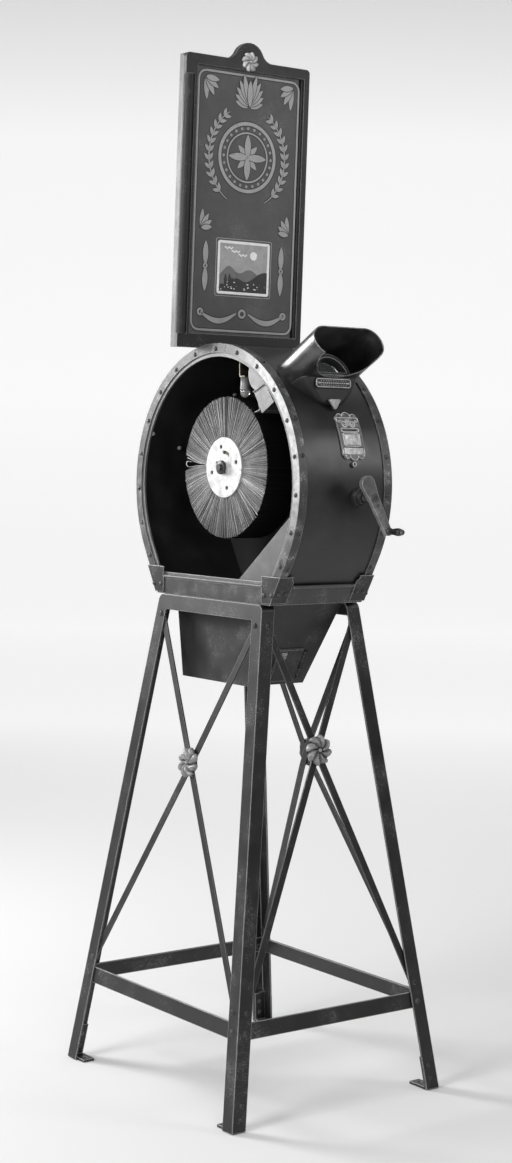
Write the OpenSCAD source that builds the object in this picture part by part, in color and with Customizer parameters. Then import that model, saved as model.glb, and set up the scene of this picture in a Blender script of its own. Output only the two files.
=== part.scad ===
// Mutoscope: a coin-in-the-slot viewer with a crank-turned card reel, on an angle-iron stand.
// Millimetres, Z up. The origin is on the floor under the middle of the stand.
// The viewer looks in from the front, -Y. The open side of the drum faces -X.

/* [Stand] */
// Height of the stand from the floor to the casing's seat
stand_h = 862; // [720:1:1050]
// Width of the stand over its legs at the top
top_w = 214; // [208:1:280]
// Depth of the stand over its legs at the top
top_d = 316; // [250:1:330]
// Width of the stand over its legs at the floor
foot_w = 454; // [360:1:600]
// Depth of the stand over its legs at the floor
foot_d = 522; // [420:1:680]
// Flange width of the leg angle
angle_w = 28; // [24:1:36]
// Thickness of the leg angle
angle_t = 3.2; // [2.5:0.1:4.5]
// Height of the lower struts' top edge above the floor
strut_top = 173; // [140:1:260]
// Height of the strut bars
strut_w = 28; // [22:1:34]
// Thickness of the strut bars
strut_t = 4; // [3:0.5:5]
// Width of the brace straps
strap_w = 13; // [10:0.5:16]
// Thickness of the brace straps
strap_t = 3; // [2:0.5:4]
// Inward bow of the right side's straps at their crossing
side_bow = 22; // [0:1:26]
// Diameter of the stand's bolts
bolt_d = 6; // [5:0.5:8]
// Diameter of the brace rosettes
rosette_d = 54; // [40:1:70]
// Length of a foot's tab on the floor
foot_tab = 46; // [38:1:60]
// Width of a foot's tab
foot_tab_w = 23; // [18:1:24]
// Thickness of a foot
foot_t = 5; // [4:0.5:6]
// Diameter of the floor bolt's hole in a foot
foot_hole_d = 8; // [5:0.5:9]

/* [Casing] */
// Radius of the drum over its rings
drum_r = 252; // [225:1:305]
// Width of the casing over the rings' faces
drum_w = 204; // [200:1:250]
// Height of the drum's centre above the casing's seat
drum_rise = 204.5; // [190:0.5:240]
// Lean of the casing's sides below the drum, from upright
side_lean = 30; // [26:1:34]
// Thickness of the casing's sheet
sheet_t = 1.5; // [1:0.1:2]
// Flange width of the ring angle
ring_w = 17; // [14:1:22]
// Thickness of the ring angle and the base band
ring_t = 2.5; // [2:0.1:3.5]
// Rivet spacing round the rings, in degrees
rivet_step = 15.5; // [12:0.5:20]
// Width of the bead inside the window's ring
bead_w = 6.5; // [5:0.5:9]
// Height of the base band
band_h = 35; // [28:1:42]
// Height of the corner brackets above the casing's seat
bracket_h = 50; // [44:1:60]
// Thickness of the corner brackets
bracket_t = 2.5; // [2:0.5:4]

/* [Cash box] */
// Depth of the hopper below the casing's seat
hopper_depth = 150; // [120:1:180]
// Distance of the hopper's bottom front edge from the middle
hopper_front = 75; // [60:1:85]
// Distance of its bottom back edge from the middle
hopper_back = 123; // [90:1:125]
// Run-out of its front wall from bottom to top
flare_front = 75; // [40:1:75]
// Run-out of its back wall from bottom to top
flare_back = 23; // [10:1:30]
// Run-out of its right wall from bottom to top
flare_right = 28; // [10:1:50]
// Width of the cash door
door_w = 57; // [48:1:66]
// Height of the cash door
door_h = 68; // [54:1:76]
// Thickness of the cash door
door_t = 3; // [2:0.5:4]

/* [Hood and front] */
// Rise of the hood's axis above level
hood_rise = 30; // [20:1:38]
// Width of the hood
hood_w = 150; // [130:1:160]
// Height of the hood's opening, measured square to its axis
hood_h = 60; // [54:1:68]
// Distance of the hood's axis from the drum's centre
hood_offset = 91.4; // [80:0.1:100]
// Distance that the hood's rim stands out past the drum's radius, along its axis
hood_out = 92; // [80:1:120]
// Thickness of the hood's sheet
hood_t = 1.6; // [1.2:0.1:2.5]
// Radius of the arched eyepiece's opening
eye_r = 31; // [26:1:34]
// Place of the coin plate's middle, across
coin_x = 21; // [10:1:30]
// Place of the coin plate's middle on the drum, in degrees above level
coin_angle = 21; // [18:0.5:26]
// Width of the coin slot
slot_w = 30; // [26:1:34]

/* [Crank] */
// Place of the crank shaft across the casing
crank_x = 29; // [22:1:34]
// Height of the crank shaft relative to the drum's centre
crank_dz = -16.5; // [-24:0.5:-10]
// Diameter of the crank shaft and the reel shaft
shaft_d = 12; // [10:0.5:12]
// Distance from the drum to the crank arm
arm_gap = 37; // [30:1:50]
// Throw of the crank arm
crank_throw = 65.4; // [50:0.1:90]
// Angle of the arm as it hangs, measured from +X
arm_angle = -60.7; // [-90:0.1:0]
// Length of the handle grip
grip_len = 34; // [28:1:60]

/* [Reel] */
// Radius of the card pack
reel_r = 127.5; // [100:0.5:140]
// Width of the cards across the reel
card_w = 70; // [50:1:76]
// Radius of the white metal hub plate
hub_r = 54; // [45:1:60]
// Distance from the window's face to the hub plate
reel_inset = 22; // [18:1:40]
// Teeth of the worm wheel
wheel_teeth = 40; // [34:1:44]
// Tooth module of the worm drive
tooth_m = 1.9; // [1.7:0.1:2.1]

/* [Sign] */
// Width of the sign's case
sign_w = 280; // [230:1:340]
// Height of the sign's case without its arch
sign_h = 530; // [420:1:640]
// Depth of the sign's case
sign_d = 22; // [20:1:30]
// Distance of the sign's face behind the drum's centre
sign_y = 68; // [50:1:90]
// Forward lean of the sign
sign_lean = 1.8; // [0:0.1:3]
// Diameter of the sign's rosette
crest_d = 36; // [28:1:44]

/* [Hidden] */
$fn = 72;
half_w = drum_w / 2;
drum_z = stand_h + drum_rise;
shell_r = drum_r - ring_t;
ring_depth = drum_rise - band_h;
fit = 0.05;
gap = 0.3;

// Leg corner lines run from the foot corner to the top corner
tx = top_w / 2;
ty = top_d / 2;
bx = foot_w / 2;
by = foot_d / 2;
leg_len = norm([bx - tx, by - ty, stand_h]);
tip_y = -asin((by - ty) / leg_len);
tip_x = atan2(bx - tx, stand_h);
face_tip = -atan2(by - ty, stand_h);
// The flanges of a splayed leg turn a little out of its faces, so what is bolted in stands off
face_gap = angle_w * abs(sin(tip_x) * sin(tip_y)) + 0.05;
strut_mid = strut_top - strut_w / 2;
bolt_in = angle_w / 2 + 3;
// Distances up a leg of the strap's top bolt, the strap's lower bolt and the strut's bolt
s_top = (stand_h - 34) / cos(tip_x) / cos(tip_y);
s_low = (strut_top + strap_w * 0.5 + 12) / cos(tip_x) / cos(tip_y);
s_strut = strut_mid / cos(tip_x) / cos(tip_y);

crank_z = drum_z + crank_dz;
worm_r = 9;
wheel_r = wheel_teeth * tooth_m / 2;
reel_z = crank_z + worm_r + wheel_r;
worm_lead = PI * tooth_m;
shaft_r = shaft_d / 2;
hub_x = -half_w + reel_inset;
card_x0 = hub_x + 3;
card_x1 = card_x0 + card_w;
arm_y = -drum_r - arm_gap;
arm_t = 8;
grip_y = arm_y - arm_t / 2 - 1.5;

// The hopper hangs between the top rails
hop_x0 = -tx + angle_w + 2;
hop_top_w = -2 * hop_x0;
door_tilt = atan2(flare_front, hopper_depth);
door_x = -4.5;
door_s = 6.5 + door_h / 2;
hinge_x = door_x + door_w / 2 + 3;
lock_x = door_x - door_w / 2 + 13;
lock_s = door_s + door_h / 2 - 14.5;

// Height of the sign's foot above the drum's centre
sign_seat = sqrt(pow(drum_r, 2) - pow(sign_y, 2)) + 4;

// Coin way: chute, lever bracket and the hopper's lip stand in a row on the floor
lip_d = 3.5;
lever_base_d = 11;
chute_d = 14;
chute_y = -hopper_front - flare_front - lip_d - lever_base_d - chute_d - 2;
lever_base_y = chute_y + chute_d + 1;
lever_x = crank_x - 28;
lever_y = lever_base_y + 29;
lever_z = stand_h + 54;

// Hood base: its top edge under the hood and its point on the drum, in the hood's frame
hood_reach = drum_r + hood_out;
hood_root = drum_r - 100;
apron_v = hood_offset - hood_h / 2 - 2;
apron_w = drum_r + 24;
point_v = 12;
point_w = drum_r + 1.5;
apron_tilt = atan2(apron_w - point_w, apron_v - point_v);
badge_up = 0.83;
plate_w = 50;
plate_h = 70;
// Angle on the drum at a run up from the coin plate's middle
function along_drum(run) = coin_angle + run / drum_r * 180 / PI;

// Helpers that set an outline or a piece in its place

// Extrudes an outline drawn in Y and Z from x0 to x1
module across(x0, x1) {
    translate([x0, 0, 0]) rotate([90, 0, 90]) linear_extrude(x1 - x0) children();
}

// Extrudes an outline drawn in X and Z from y0 to y1
module through(y0, y1) {
    translate([0, y1, 0]) rotate([90, 0, 0]) linear_extrude(y1 - y0) children();
}

// Puts a piece made for the front left corner in the corner asked for
module corner(sx, sy) {
    mirror([sx > 0 ? 1 : 0, 0, 0]) mirror([0, sy > 0 ? 1 : 0, 0]) children();
}

// Frame of the front left leg: Z up along its corner line, flanges along X and Y
module leg_frame() {
    translate([-bx, -by, 0]) rotate([tip_y, tip_x, 0]) children();
}

// Frame of the left face of the stand: X inward, Y along the face, Z up the slope
module left_face() {
    translate([-bx, 0, 0]) rotate([0, tip_x, 0]) children();
}

// Frame of the front face of the stand: Y inward, X along the face, Z up the slope
module front_face() {
    translate([0, -by, 0]) rotate([face_tip, 0, 0]) children();
}

// Frame on the drum at an angle above level: Z outward, Y up along the drum
module on_drum(angle) {
    translate([0, 0, drum_z]) rotate([90 - angle, 0, 0]) children();
}

// Frame of the sign: origin at the foot of its face, Z up the face, Y behind it
module sign_frame_at() {
    translate([0, sign_y, drum_z + sign_seat]) rotate([sign_lean, 0, 0]) children();
}

// Rectangle with rounded corners, centred
module round_rect(w, h, r) {
    square([w - 2 * r, h], center = true);
    square([w, h - 2 * r], center = true);
    for (x = [-1, 1], y = [-1, 1])
        translate([x * (w / 2 - r), y * (h / 2 - r)]) circle(r);
}

// Half the depth of the leaning sides, at a drop below the drum's centre
function side_y(r, drop) = r * cos(side_lean) - (drop - r * sin(side_lean)) * tan(side_lean);

// Outline of the casing seen from its open side: a circle on two leaning tangents
module horseshoe(r, depth) {
    c = r * cos(side_lean);
    s = r * sin(side_lean);
    b = side_y(r, depth);
    intersection() {
        circle(r);
        translate([-2 * r, -s]) square([4 * r, s + 2 * r]);
    }
    polygon([[-c, -s], [-b, -depth], [b, -depth], [c, -s]]);
}

// Strip between two such outlines
module horseshoe_strip(ro, ri, depth) {
    difference() {
        horseshoe(ro, depth);
        horseshoe(ri, depth + 1);
    }
}

// Low cast flower: petals that swirl round a raised eye, back face at z = 0
module rosette(d, h) {
    rings = 10;
    segs = 64;
    petals = 8;
    function height(t, a) = h * (t < 0.22 ? 1 - 0.35 * pow(t / 0.22, 2)
        : (0.42 + 0.38 * sin(180 * (t - 0.22) / 0.78)) * (0.72 + 0.28 * cos(petals * (a + 34 * t))));
    function edge(a) = d / 2 * (0.93 + 0.07 * cos(petals * (a + 34)));
    top = [for (i = [1 : rings], j = [0 : segs - 1])
        let (t = i / rings, a = 360 * j / segs)
        [edge(a) * t * cos(a), edge(a) * t * sin(a), i == rings ? 1.2 : max(1.2, height(t, a))]];
    foot = [for (j = [0 : segs - 1]) let (a = 360 * j / segs) [edge(a) * cos(a), edge(a) * sin(a), 0]];
    eye = len(top) + segs;
    faces = concat(
        [for (j = [0 : segs - 1]) [eye, (j + 1) % segs, j]],
        [for (i = [0 : rings - 2], j = [0 : segs - 1])
            let (a = i * segs + j, b = i * segs + (j + 1) % segs)
            [a, b, b + segs]],
        [for (i = [0 : rings - 2], j = [0 : segs - 1])
            let (a = i * segs + j, b = i * segs + (j + 1) % segs)
            [a, b + segs, a + segs]],
        [for (j = [0 : segs - 1])
            let (a = (rings - 1) * segs + j, b = (rings - 1) * segs + (j + 1) % segs)
            [a, b, b + segs]],
        [for (j = [0 : segs - 1])
            let (a = (rings - 1) * segs + j, b = (rings - 1) * segs + (j + 1) % segs)
            [a, b + segs, a + segs]],
        [[for (j = [0 : segs - 1]) rings * segs + j]]);
    polyhedron(concat(top, foot, [[0, 0, h]]), faces);
}

// Button head with its shank along -Z and a nut where asked
module bolt(d, grip, nut) {
    cylinder(d1 = d * 1.9, d2 = d * 1.1, h = d * 0.45);
    translate([0, 0, -grip]) cylinder(d = d, h = grip);
    if (nut)
        translate([0, 0, -grip - d * 0.7]) cylinder(d = d * 1.75, h = d * 0.7, $fn = 6);
}

// Hole for a shank, through whatever lies on its axis near the origin
module shank_hole(d) {
    rotate([0, 0, 40]) translate([0, 0, -22]) cylinder(d = d, h = 34);
}

// Stand

// Places a hole or bolt through the left-face flange of the front left leg
module at_left_flange(s) {
    leg_frame() translate([0, bolt_in, s]) rotate([0, -90, 0]) children();
}

// Places a hole or bolt through the front-face flange of the front left leg
module at_front_flange(s) {
    leg_frame() translate([bolt_in, 0, s]) rotate([90, 0, 0]) children();
}

// All shanks of one corner, wide by a clearance
module leg_holes(front) {
    for (s = [s_top, s_low, s_strut])
        at_left_flange(s) shank_hole(bolt_d + 2 * fit);
    for (s = front ? [s_top, s_low, s_strut] : [s_strut])
        at_front_flange(s) shank_hole(bolt_d + 2 * fit);
    for (s = [24, 46])
        at_front_flange(s) shank_hole(5 + 2 * fit);
}

// Bent angle leg of the front left corner, cut level at floor and seat
module leg() {
    intersection() {
        leg_frame() translate([0, 0, -30]) difference() {
            cube([angle_w, angle_w, leg_len + 60]);
            translate([angle_t, angle_t, -1]) cube([angle_w, angle_w, leg_len + 62]);
        }
        translate([-bx - 50, -by - 50, 1.5]) cube([foot_w, foot_d, stand_h - 1.5]);
    }
}

// Inverted U of one side: two legs and the top rail from one bent and mitred bar
module stand_frame(sx) {
    color("#2b2a2a") mirror([sx > 0 ? 1 : 0, 0, 0]) difference() {
        union() {
            for (sy = [-1, 1])
                corner(-1, sy) leg();
            intersection() {
                translate([-tx, 0, stand_h]) rotate([0, tip_x, 0])
                    translate([0, -ty - 10, -angle_w]) cube([angle_t, top_d + 20, angle_w + 2]);
                across(-bx, 0)
                    polygon([[-ty, stand_h], [ty, stand_h], [ty + 4, stand_h - 60], [-ty - 4, stand_h - 60]]);
            }
            translate([-tx, -ty, stand_h - angle_t]) cube([angle_w, top_d, angle_t]);
        }
        for (sy = [-1, 1])
            corner(-1, sy) leg_holes(sy < 0);
        for (y = [-1, 1])
            translate([-tx + bolt_in, y * (ty - 45), stand_h - 10])
                cylinder(d = bolt_d + 2 * fit, h = 20);
        // Mitre of the bent flange at each end of the rail
        for (y = [-1, 1])
            translate([-tx, y * ty, stand_h - 0.4]) rotate([0, 0, y * -45])
                translate([0, -0.4, 0]) cube([angle_w * 1.3, 0.8, 2]);
    }
}

module stand_frame_left() stand_frame(-1);
module stand_frame_right() stand_frame(1);

// Lower strut across one face; its ends lie inside the leg flanges
module strut_long(sy) {
    end = bx - strut_mid * tan(tip_x) - angle_t - 2;
    color("#252425") mirror([0, sy > 0 ? 1 : 0, 0]) difference() {
        front_face() translate([-end, angle_t + face_gap, strut_mid / cos(face_tip) - strut_w / 2])
            cube([2 * end, strut_t, strut_w]);
        for (sx = [-1, 1])
            corner(sx, -1) at_front_flange(s_strut) shank_hole(bolt_d + 2 * fit);
    }
}

module strut_side(sx) {
    end = by + strut_mid * tan(face_tip) - angle_t - face_gap - strut_t - 2;
    color("#252425") mirror([sx > 0 ? 1 : 0, 0, 0]) difference() {
        left_face() translate([angle_t, -end, strut_mid / cos(tip_x) - strut_w / 2])
            cube([strut_t, 2 * end, strut_w]);
        for (sy = [-1, 1])
            corner(-1, sy) at_left_flange(s_strut) shank_hole(bolt_d + 2 * fit);
    }
}

module strut_front() strut_long(-1);
module strut_back() strut_long(1);
module strut_left() strut_side(-1);
module strut_right() strut_side(1);

// Strap from a to b in a plane, straight or with its middle standing off by bow, flat under the rosette
module strap(a, b, bow) {
    run = norm(b - a);
    turn = atan2(b[1] - a[1], b[0] - a[0]);
    cross = run * abs(a[0]) / (abs(a[0]) + abs(b[0]));
    far = strap_w;
    flat = rosette_d / 2 + 2;
    translate([a[0], a[1], 0]) rotate([0, 0, turn]) intersection() {
        translate([0, far, 0]) rotate([90, 0, 0]) linear_extrude(2 * far)
            polygon([[-far, 0], [0, 0], [cross - flat, bow], [cross + flat, bow], [run, 0], [run + far, 0],
                [run + far, strap_t], [run, strap_t], [cross + flat, bow + strap_t],
                [cross - flat, bow + strap_t], [0, strap_t], [-far, strap_t]]);
        translate([0, 0, -1]) linear_extrude(bow + strap_t + 2) {
            circle(d = strap_w);
            translate([run, 0]) circle(d = strap_w);
            translate([0, -strap_w / 2]) square([run, strap_w]);
        }
    }
}

// Ends of a strap in a face, as distance from the middle and height up the slope
function side_end(s) = [by - bolt_in * cos(tip_y) - s * (by - ty) / leg_len,
    s * cos(tip_y) - bolt_in * (by - ty) / leg_len];
function front_end(s) = [bx - bolt_in * cos(tip_x) - s * cos(tip_y) * sin(tip_x),
    (s * cos(tip_y) * cos(tip_x) - bolt_in * sin(tip_x)) / cos(face_tip)];

// Height up the slope at which the straps of a face cross
function cross_up(hi, lo) = hi[1] + (lo[1] - hi[1]) * hi[0] / (hi[0] + lo[0]);

// Crossed pair of a side face; the inner strap is bowed behind the outer one
module straps_side(sx) {
    hi = side_end(s_top);
    lo = side_end(s_low);
    bow = sx > 0 ? side_bow : 0;
    color("#211f20") mirror([sx > 0 ? 1 : 0, 0, 0]) difference() {
        left_face() translate([angle_t, 0, 0]) rotate([90, 0, 90]) {
            strap([hi[0], hi[1]], [-lo[0], lo[1]], bow);
            strap([-hi[0], hi[1]], [lo[0], lo[1]], bow + strap_t + gap);
        }
        for (sy = [-1, 1], s = [s_top, s_low])
            corner(-1, sy) at_left_flange(s) shank_hole(bolt_d + 2 * fit);
    }
}

module straps_left() straps_side(-1);
module straps_right() straps_side(1);

module straps_front() {
    hi = front_end(s_top);
    lo = front_end(s_low);
    color("#211f20") difference() {
        front_face() translate([0, angle_t + face_gap, 0]) mirror([0, 1, 0]) rotate([90, 0, 0]) {
            strap([hi[0], hi[1]], [-lo[0], lo[1]], 0);
            strap([-hi[0], hi[1]], [lo[0], lo[1]], strap_t + gap);
        }
        for (sx = [-1, 1], s = [s_top, s_low])
            corner(sx, -1) at_front_flange(s) shank_hole(bolt_d + 2 * fit);
    }
}

// Cast flowers over the crossings of the straps
module brace_rosettes() {
    side_up = cross_up(side_end(s_top), side_end(s_low));
    front_up = cross_up(front_end(s_top), front_end(s_low));
    color("#8b8a86") {
        for (sx = [-1, 1])
            mirror([sx > 0 ? 1 : 0, 0, 0]) left_face()
                translate([angle_t + (sx > 0 ? side_bow : 0), 0, side_up])
                    rotate([0, -90, 0]) rosette(rosette_d, 11);
        front_face() translate([0, angle_t + face_gap, front_up]) rotate([90, 0, 0])
            rosette(rosette_d, 11);
    }
}

// Foot: a strap riveted inside the leg's front or back flange and bent in along the floor
module foot() {
    color("#242323") difference() {
        union() {
            intersection() {
                leg_frame() translate([angle_t + gap, angle_t, -10]) cube([foot_tab_w, foot_t, 74]);
                translate([-bx - 20, -by - 20, 0]) cube([120, 120, 100]);
            }
            translate([-bx + angle_t + 1.5, -by + angle_t + foot_t * 0.3, 0])
                cube([foot_tab_w, foot_tab - foot_t * 0.3, foot_t]);
        }
        for (s = [24, 46])
            at_front_flange(s) shank_hole(5 + 2 * fit);
        translate([-bx + angle_t + 1.5 + foot_tab_w / 2, -by + angle_t + foot_tab - 14, -1])
            cylinder(d = foot_hole_d, h = foot_t + 2);
    }
}

module feet_left() for (sy = [-1, 1]) corner(-1, sy) foot();
module feet_right() for (sy = [-1, 1]) corner(1, sy) foot();

// Bolts of the stand, rivets of the feet and the bolts that hold the casing down
module stand_fasteners() {
    color("#3a3937") {
        for (sx = [-1, 1], sy = [-1, 1])
            corner(sx, sy) {
                for (s = [s_top, s_low])
                    at_left_flange(s) bolt(bolt_d, angle_t + strap_t + gap, true);
                at_left_flange(s_strut) bolt(bolt_d, angle_t + strut_t, true);
                at_front_flange(s_strut) bolt(bolt_d, angle_t + strut_t + face_gap, true);
                for (s = [24, 46])
                    at_front_flange(s) bolt(5, angle_t + foot_t, false);
            }
        for (sx = [-1, 1], s = [s_top, s_low])
            corner(sx, -1) at_front_flange(s) bolt(bolt_d, angle_t + strap_t + face_gap + gap, true);
        for (sx = [-1, 1], sy = [-1, 1])
            corner(sx, sy) translate([-tx + bolt_in, -ty + 45, stand_h + 2])
                bolt(bolt_d, angle_t + 2, true);
    }
}

// Casing

// Tray floor of the casing, with the hopper's opening and the seat bolts' holes
module casing_floor() {
    color("#1c1b1b") difference() {
        intersection() {
            translate([0, 0, drum_z]) across(-half_w + ring_t + fit, half_w - ring_t - sheet_t - fit)
                horseshoe(shell_r - sheet_t - fit, drum_rise);
            translate([-half_w, -drum_r, stand_h]) cube([drum_w, 2 * drum_r, 2]);
        }
        hopper_neck(fit, 6);
        for (sx = [-1, 1], sy = [-1, 1])
            corner(sx, sy) translate([-tx + bolt_in, -ty + 45, stand_h - 1])
                cylinder(d = bolt_d + 2 * fit, h = 4);
    }
}

// Rolled sheet of the drum and its leaning sides, open below
module drum_shell() {
    color("#232223") difference() {
        translate([0, 0, drum_z]) across(-half_w + ring_t, half_w - ring_t - sheet_t)
            horseshoe_strip(shell_r, shell_r - sheet_t, drum_rise);
        hood_frame() translate([0, 0, hood_root]) linear_extrude(hood_out + 40) eye_outline(eye_r, 0);
        on_drum(coin_angle) translate([coin_x - slot_w / 2, 8, drum_r - 20]) cube([slot_w, 4, 40]);
        translate([crank_x, -drum_r - 5, crank_z]) rotate([-90, 0, 0]) cylinder(d = 22 + 2 * fit, h = 30);
    }
}

// Closed right side of the casing
module side_panel() {
    color("#1a1919") difference() {
        translate([0, 0, drum_z]) across(half_w - ring_t - sheet_t, half_w - ring_t)
            horseshoe(shell_r, drum_rise);
        frame_bolts() translate([0, 0, -20]) cylinder(d = 6 + 2 * fit, h = 40);
    }
}

// Places of the four bolts that hold the mechanism frame, on the outside of the right panel
module frame_bolts() {
    for (y = [-1, 1], z = [reel_z + 26, reel_z - 62])
        translate([half_w - ring_t, y * 35, z]) rotate([0, 90, 0]) children();
}

// Angle-iron ring round one face, butted beside the crown
module ring(side) {
    color("#5c5b58") mirror([side > 0 ? 1 : 0, 0, 0]) translate([0, 0, drum_z]) difference() {
        across(-half_w, -half_w + ring_w) horseshoe(drum_r, ring_depth);
        across(-half_w + ring_t, -half_w + ring_w + 1) horseshoe(shell_r + fit, ring_depth + 1);
        across(-half_w - 1, -half_w + ring_w + 1) horseshoe(drum_r - ring_w, ring_depth + 1);
        rotate([7, 0, 0]) translate([-half_w - 1, -0.4, drum_r - ring_w - 2])
            cube([ring_w + 2, 0.8, ring_w + 5]);
    }
}

module ring_left() ring(-1);
module ring_right() ring(1);

// Place on the rim at an angle from the crown; past the circle it follows the leaning side
module on_rim(angle) {
    turn = min(abs(angle), 90 + side_lean);
    past = (abs(angle) - turn) * PI / 180 * drum_r;
    rotate([sign(angle) * turn, 0, 0]) translate([0, -sign(angle) * past, 0]) children();
}

// Run of the leaning side between the circle's end and the last place for a rivet over the brackets
rivet_run = (drum_rise - bracket_h - 6 - drum_r * sin(side_lean)) / cos(side_lean);

// Round-headed rivets in both flanges of both rings
module ring_rivets() {
    face_r = drum_r - ring_w * 0.58;
    last = floor((90 + side_lean + rivet_run / drum_r * 180 / PI) / rivet_step);
    color("#6e6d69") for (side = [0, 1]) mirror([side, 0, 0]) translate([0, 0, drum_z])
        for (k = [-last : last]) on_rim(k * rivet_step) {
            translate([-half_w, 0, face_r]) rotate([0, -90, 0]) cylinder(d1 = 8, d2 = 4.4, h = 2.2);
            translate([-half_w + ring_w * 0.58, 0, drum_r + fit]) cylinder(d1 = 8, d2 = 4.4, h = 2.2);
        }
}

// Bead that lines the window inside its ring, with a sill along the band
module window_bead() {
    color("#8e8d89") translate([0, 0, drum_z]) {
        across(-half_w + ring_t, -half_w + ring_t + 4) difference() {
            horseshoe_strip(drum_r - ring_w + 4, drum_r - ring_w - bead_w, ring_depth - 2);
            translate([-drum_r, -ring_depth - 5]) square([2 * drum_r, 6]);
        }
        across(-half_w + ring_t, -half_w + ring_t + 4) intersection() {
            horseshoe(drum_r - ring_w + 4, ring_depth + 2);
            translate([-drum_r, -ring_depth - 2]) square([2 * drum_r, bead_w]);
        }
    }
}

// Flat plate that fills the lower front corner of the window
module gusset_plate() {
    in = drum_r - ring_w - 1;
    foot = in * cos(side_lean) - (ring_depth - in * sin(side_lean)) * tan(side_lean);
    color("#7a7975") translate([0, 0, drum_z]) across(-half_w + ring_t + 4, -half_w + ring_t + 5.5)
        polygon([[-in * cos(10), -in * sin(10)], [-in * cos(side_lean), -in * sin(side_lean)],
            [-foot, -ring_depth], [-foot + 104, -ring_depth]]);
}

// Band round the casing's foot, with a rolled bead along its top edge
module base_band() {
    b = side_y(drum_r, ring_depth);
    bead_y = side_y(drum_r, drum_rise - bracket_h) - 52;
    color("#4a4946") {
        translate([0, 0, drum_z]) difference() {
            across(-half_w, half_w) intersection() {
                horseshoe(drum_r, drum_rise);
                translate([-drum_r, -drum_rise]) square([2 * drum_r, band_h - 0.02]);
            }
            across(-half_w + ring_t, half_w - ring_t) horseshoe(shell_r + fit, drum_rise + 1);
        }
        for (side = [0, 1]) mirror([side, 0, 0])
            translate([-half_w - 0.5, -bead_y, drum_z - ring_depth - 3]) rotate([-90, 0, 0])
                cylinder(d = 6, h = 2 * bead_y);
        for (side = [0, 1]) mirror([0, side, 0])
            translate([-half_w + 34, -b - 0.5, drum_z - ring_depth - 3]) rotate([0, 90, 0])
                cylinder(d = 6, h = drum_w - 68);
    }
}

// Bracket wrapped over the band's front left corner
module corner_bracket() {
    b = side_y(drum_r, drum_rise - bracket_h);
    difference() {
        intersection() {
            translate([0, 0, drum_z]) across(-half_w - bracket_t, half_w)
                horseshoe(drum_r + bracket_t, drum_rise);
            translate([-half_w - 10, -b - 60, stand_h + 3]) cube([42, 110, bracket_h - 3]);
        }
        translate([0, 0, drum_z]) across(-half_w - fit, half_w + 1) horseshoe(drum_r + fit, drum_rise + 1);
        translate([-half_w + 26, -b - 60, stand_h + bracket_h - 2]) rotate([0, 55, 0]) cube([40, 80, 40]);
    }
}

module corner_brackets() {
    color("#565552") for (sx = [-1, 1], sy = [-1, 1]) corner(sx, sy) corner_bracket();
}

// Heads of the bolts that hold the corner brackets
module bracket_bolts() {
    b = side_y(drum_r, drum_rise - bracket_h);
    mid = side_y(drum_r + bracket_t, drum_rise - 20);
    color("#6a6864") for (sx = [-1, 1], sy = [-1, 1]) corner(sx, sy) {
        for (y = [20, 42])
            translate([-half_w - bracket_t, -b + y, stand_h + 17]) rotate([0, -90, 0])
                cylinder(d1 = 8, d2 = 5, h = 2.4);
        for (x = [8, 24])
            translate([-half_w + x, -mid, stand_h + 20]) rotate([90 + side_lean, 0, 0])
                cylinder(d1 = 8, d2 = 5, h = 2.4);
    }
}

// Cash box

// Tapered body of the hopper, inset all round by a wall and open above when inset
module hopper_body(in) {
    lift = in > 0 ? 1 : 0;
    intersection() {
        translate([0, 0, stand_h]) through(-drum_r, drum_r)
            polygon([[hop_x0 + in, -hopper_depth + in], [-hop_x0 - flare_right - in, -hopper_depth + in],
                [-hop_x0 - in, lift], [hop_x0 + in, lift]]);
        translate([0, 0, stand_h]) across(-half_w, half_w)
            polygon([[-hopper_front + in, -hopper_depth + in], [hopper_back - in, -hopper_depth + in],
                [hopper_back + flare_back - in, lift], [-hopper_front - flare_front + in, lift]]);
    }
}

// Straight neck that goes up through the casing's floor, wide by a clearance
module hopper_neck(wide, rise) {
    y0 = -hopper_front - flare_front + 3;
    y1 = hopper_back + flare_back - 3;
    translate([hop_x0 + 1 - wide, y0 - wide, stand_h - 3])
        cube([hop_top_w - 2 + 2 * wide, y1 - y0 + 2 * wide, 3 + rise]);
}

// Frame on the hopper's front wall: X across, Y inward, Z up the wall from its foot
module hopper_wall() {
    translate([0, -hopper_front, stand_h - hopper_depth]) rotate([door_tilt, 0, 0]) children();
}

// Tapered sheet box that hangs below the casing and catches the coins
module hopper() {
    y0 = -hopper_front - flare_front;
    y1 = hopper_back + flare_back;
    color("#1e1d1d") difference() {
        union() {
            hopper_body(0);
            hopper_neck(0, 3.2);
            for (y = [y0 - lip_d, y1 - 5])
                translate([hop_x0 + 6, y, stand_h + 2]) cube([hop_top_w - 12, 5 + lip_d, 1.2]);
        }
        hopper_body(sheet_t);
        hopper_neck(-sheet_t, 6);
        hopper_wall() translate([door_x - door_w / 2 + 6, -10, door_s - door_h / 2 + 6])
            cube([door_w - 12, 20, door_h - 12]);
    }
}

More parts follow.
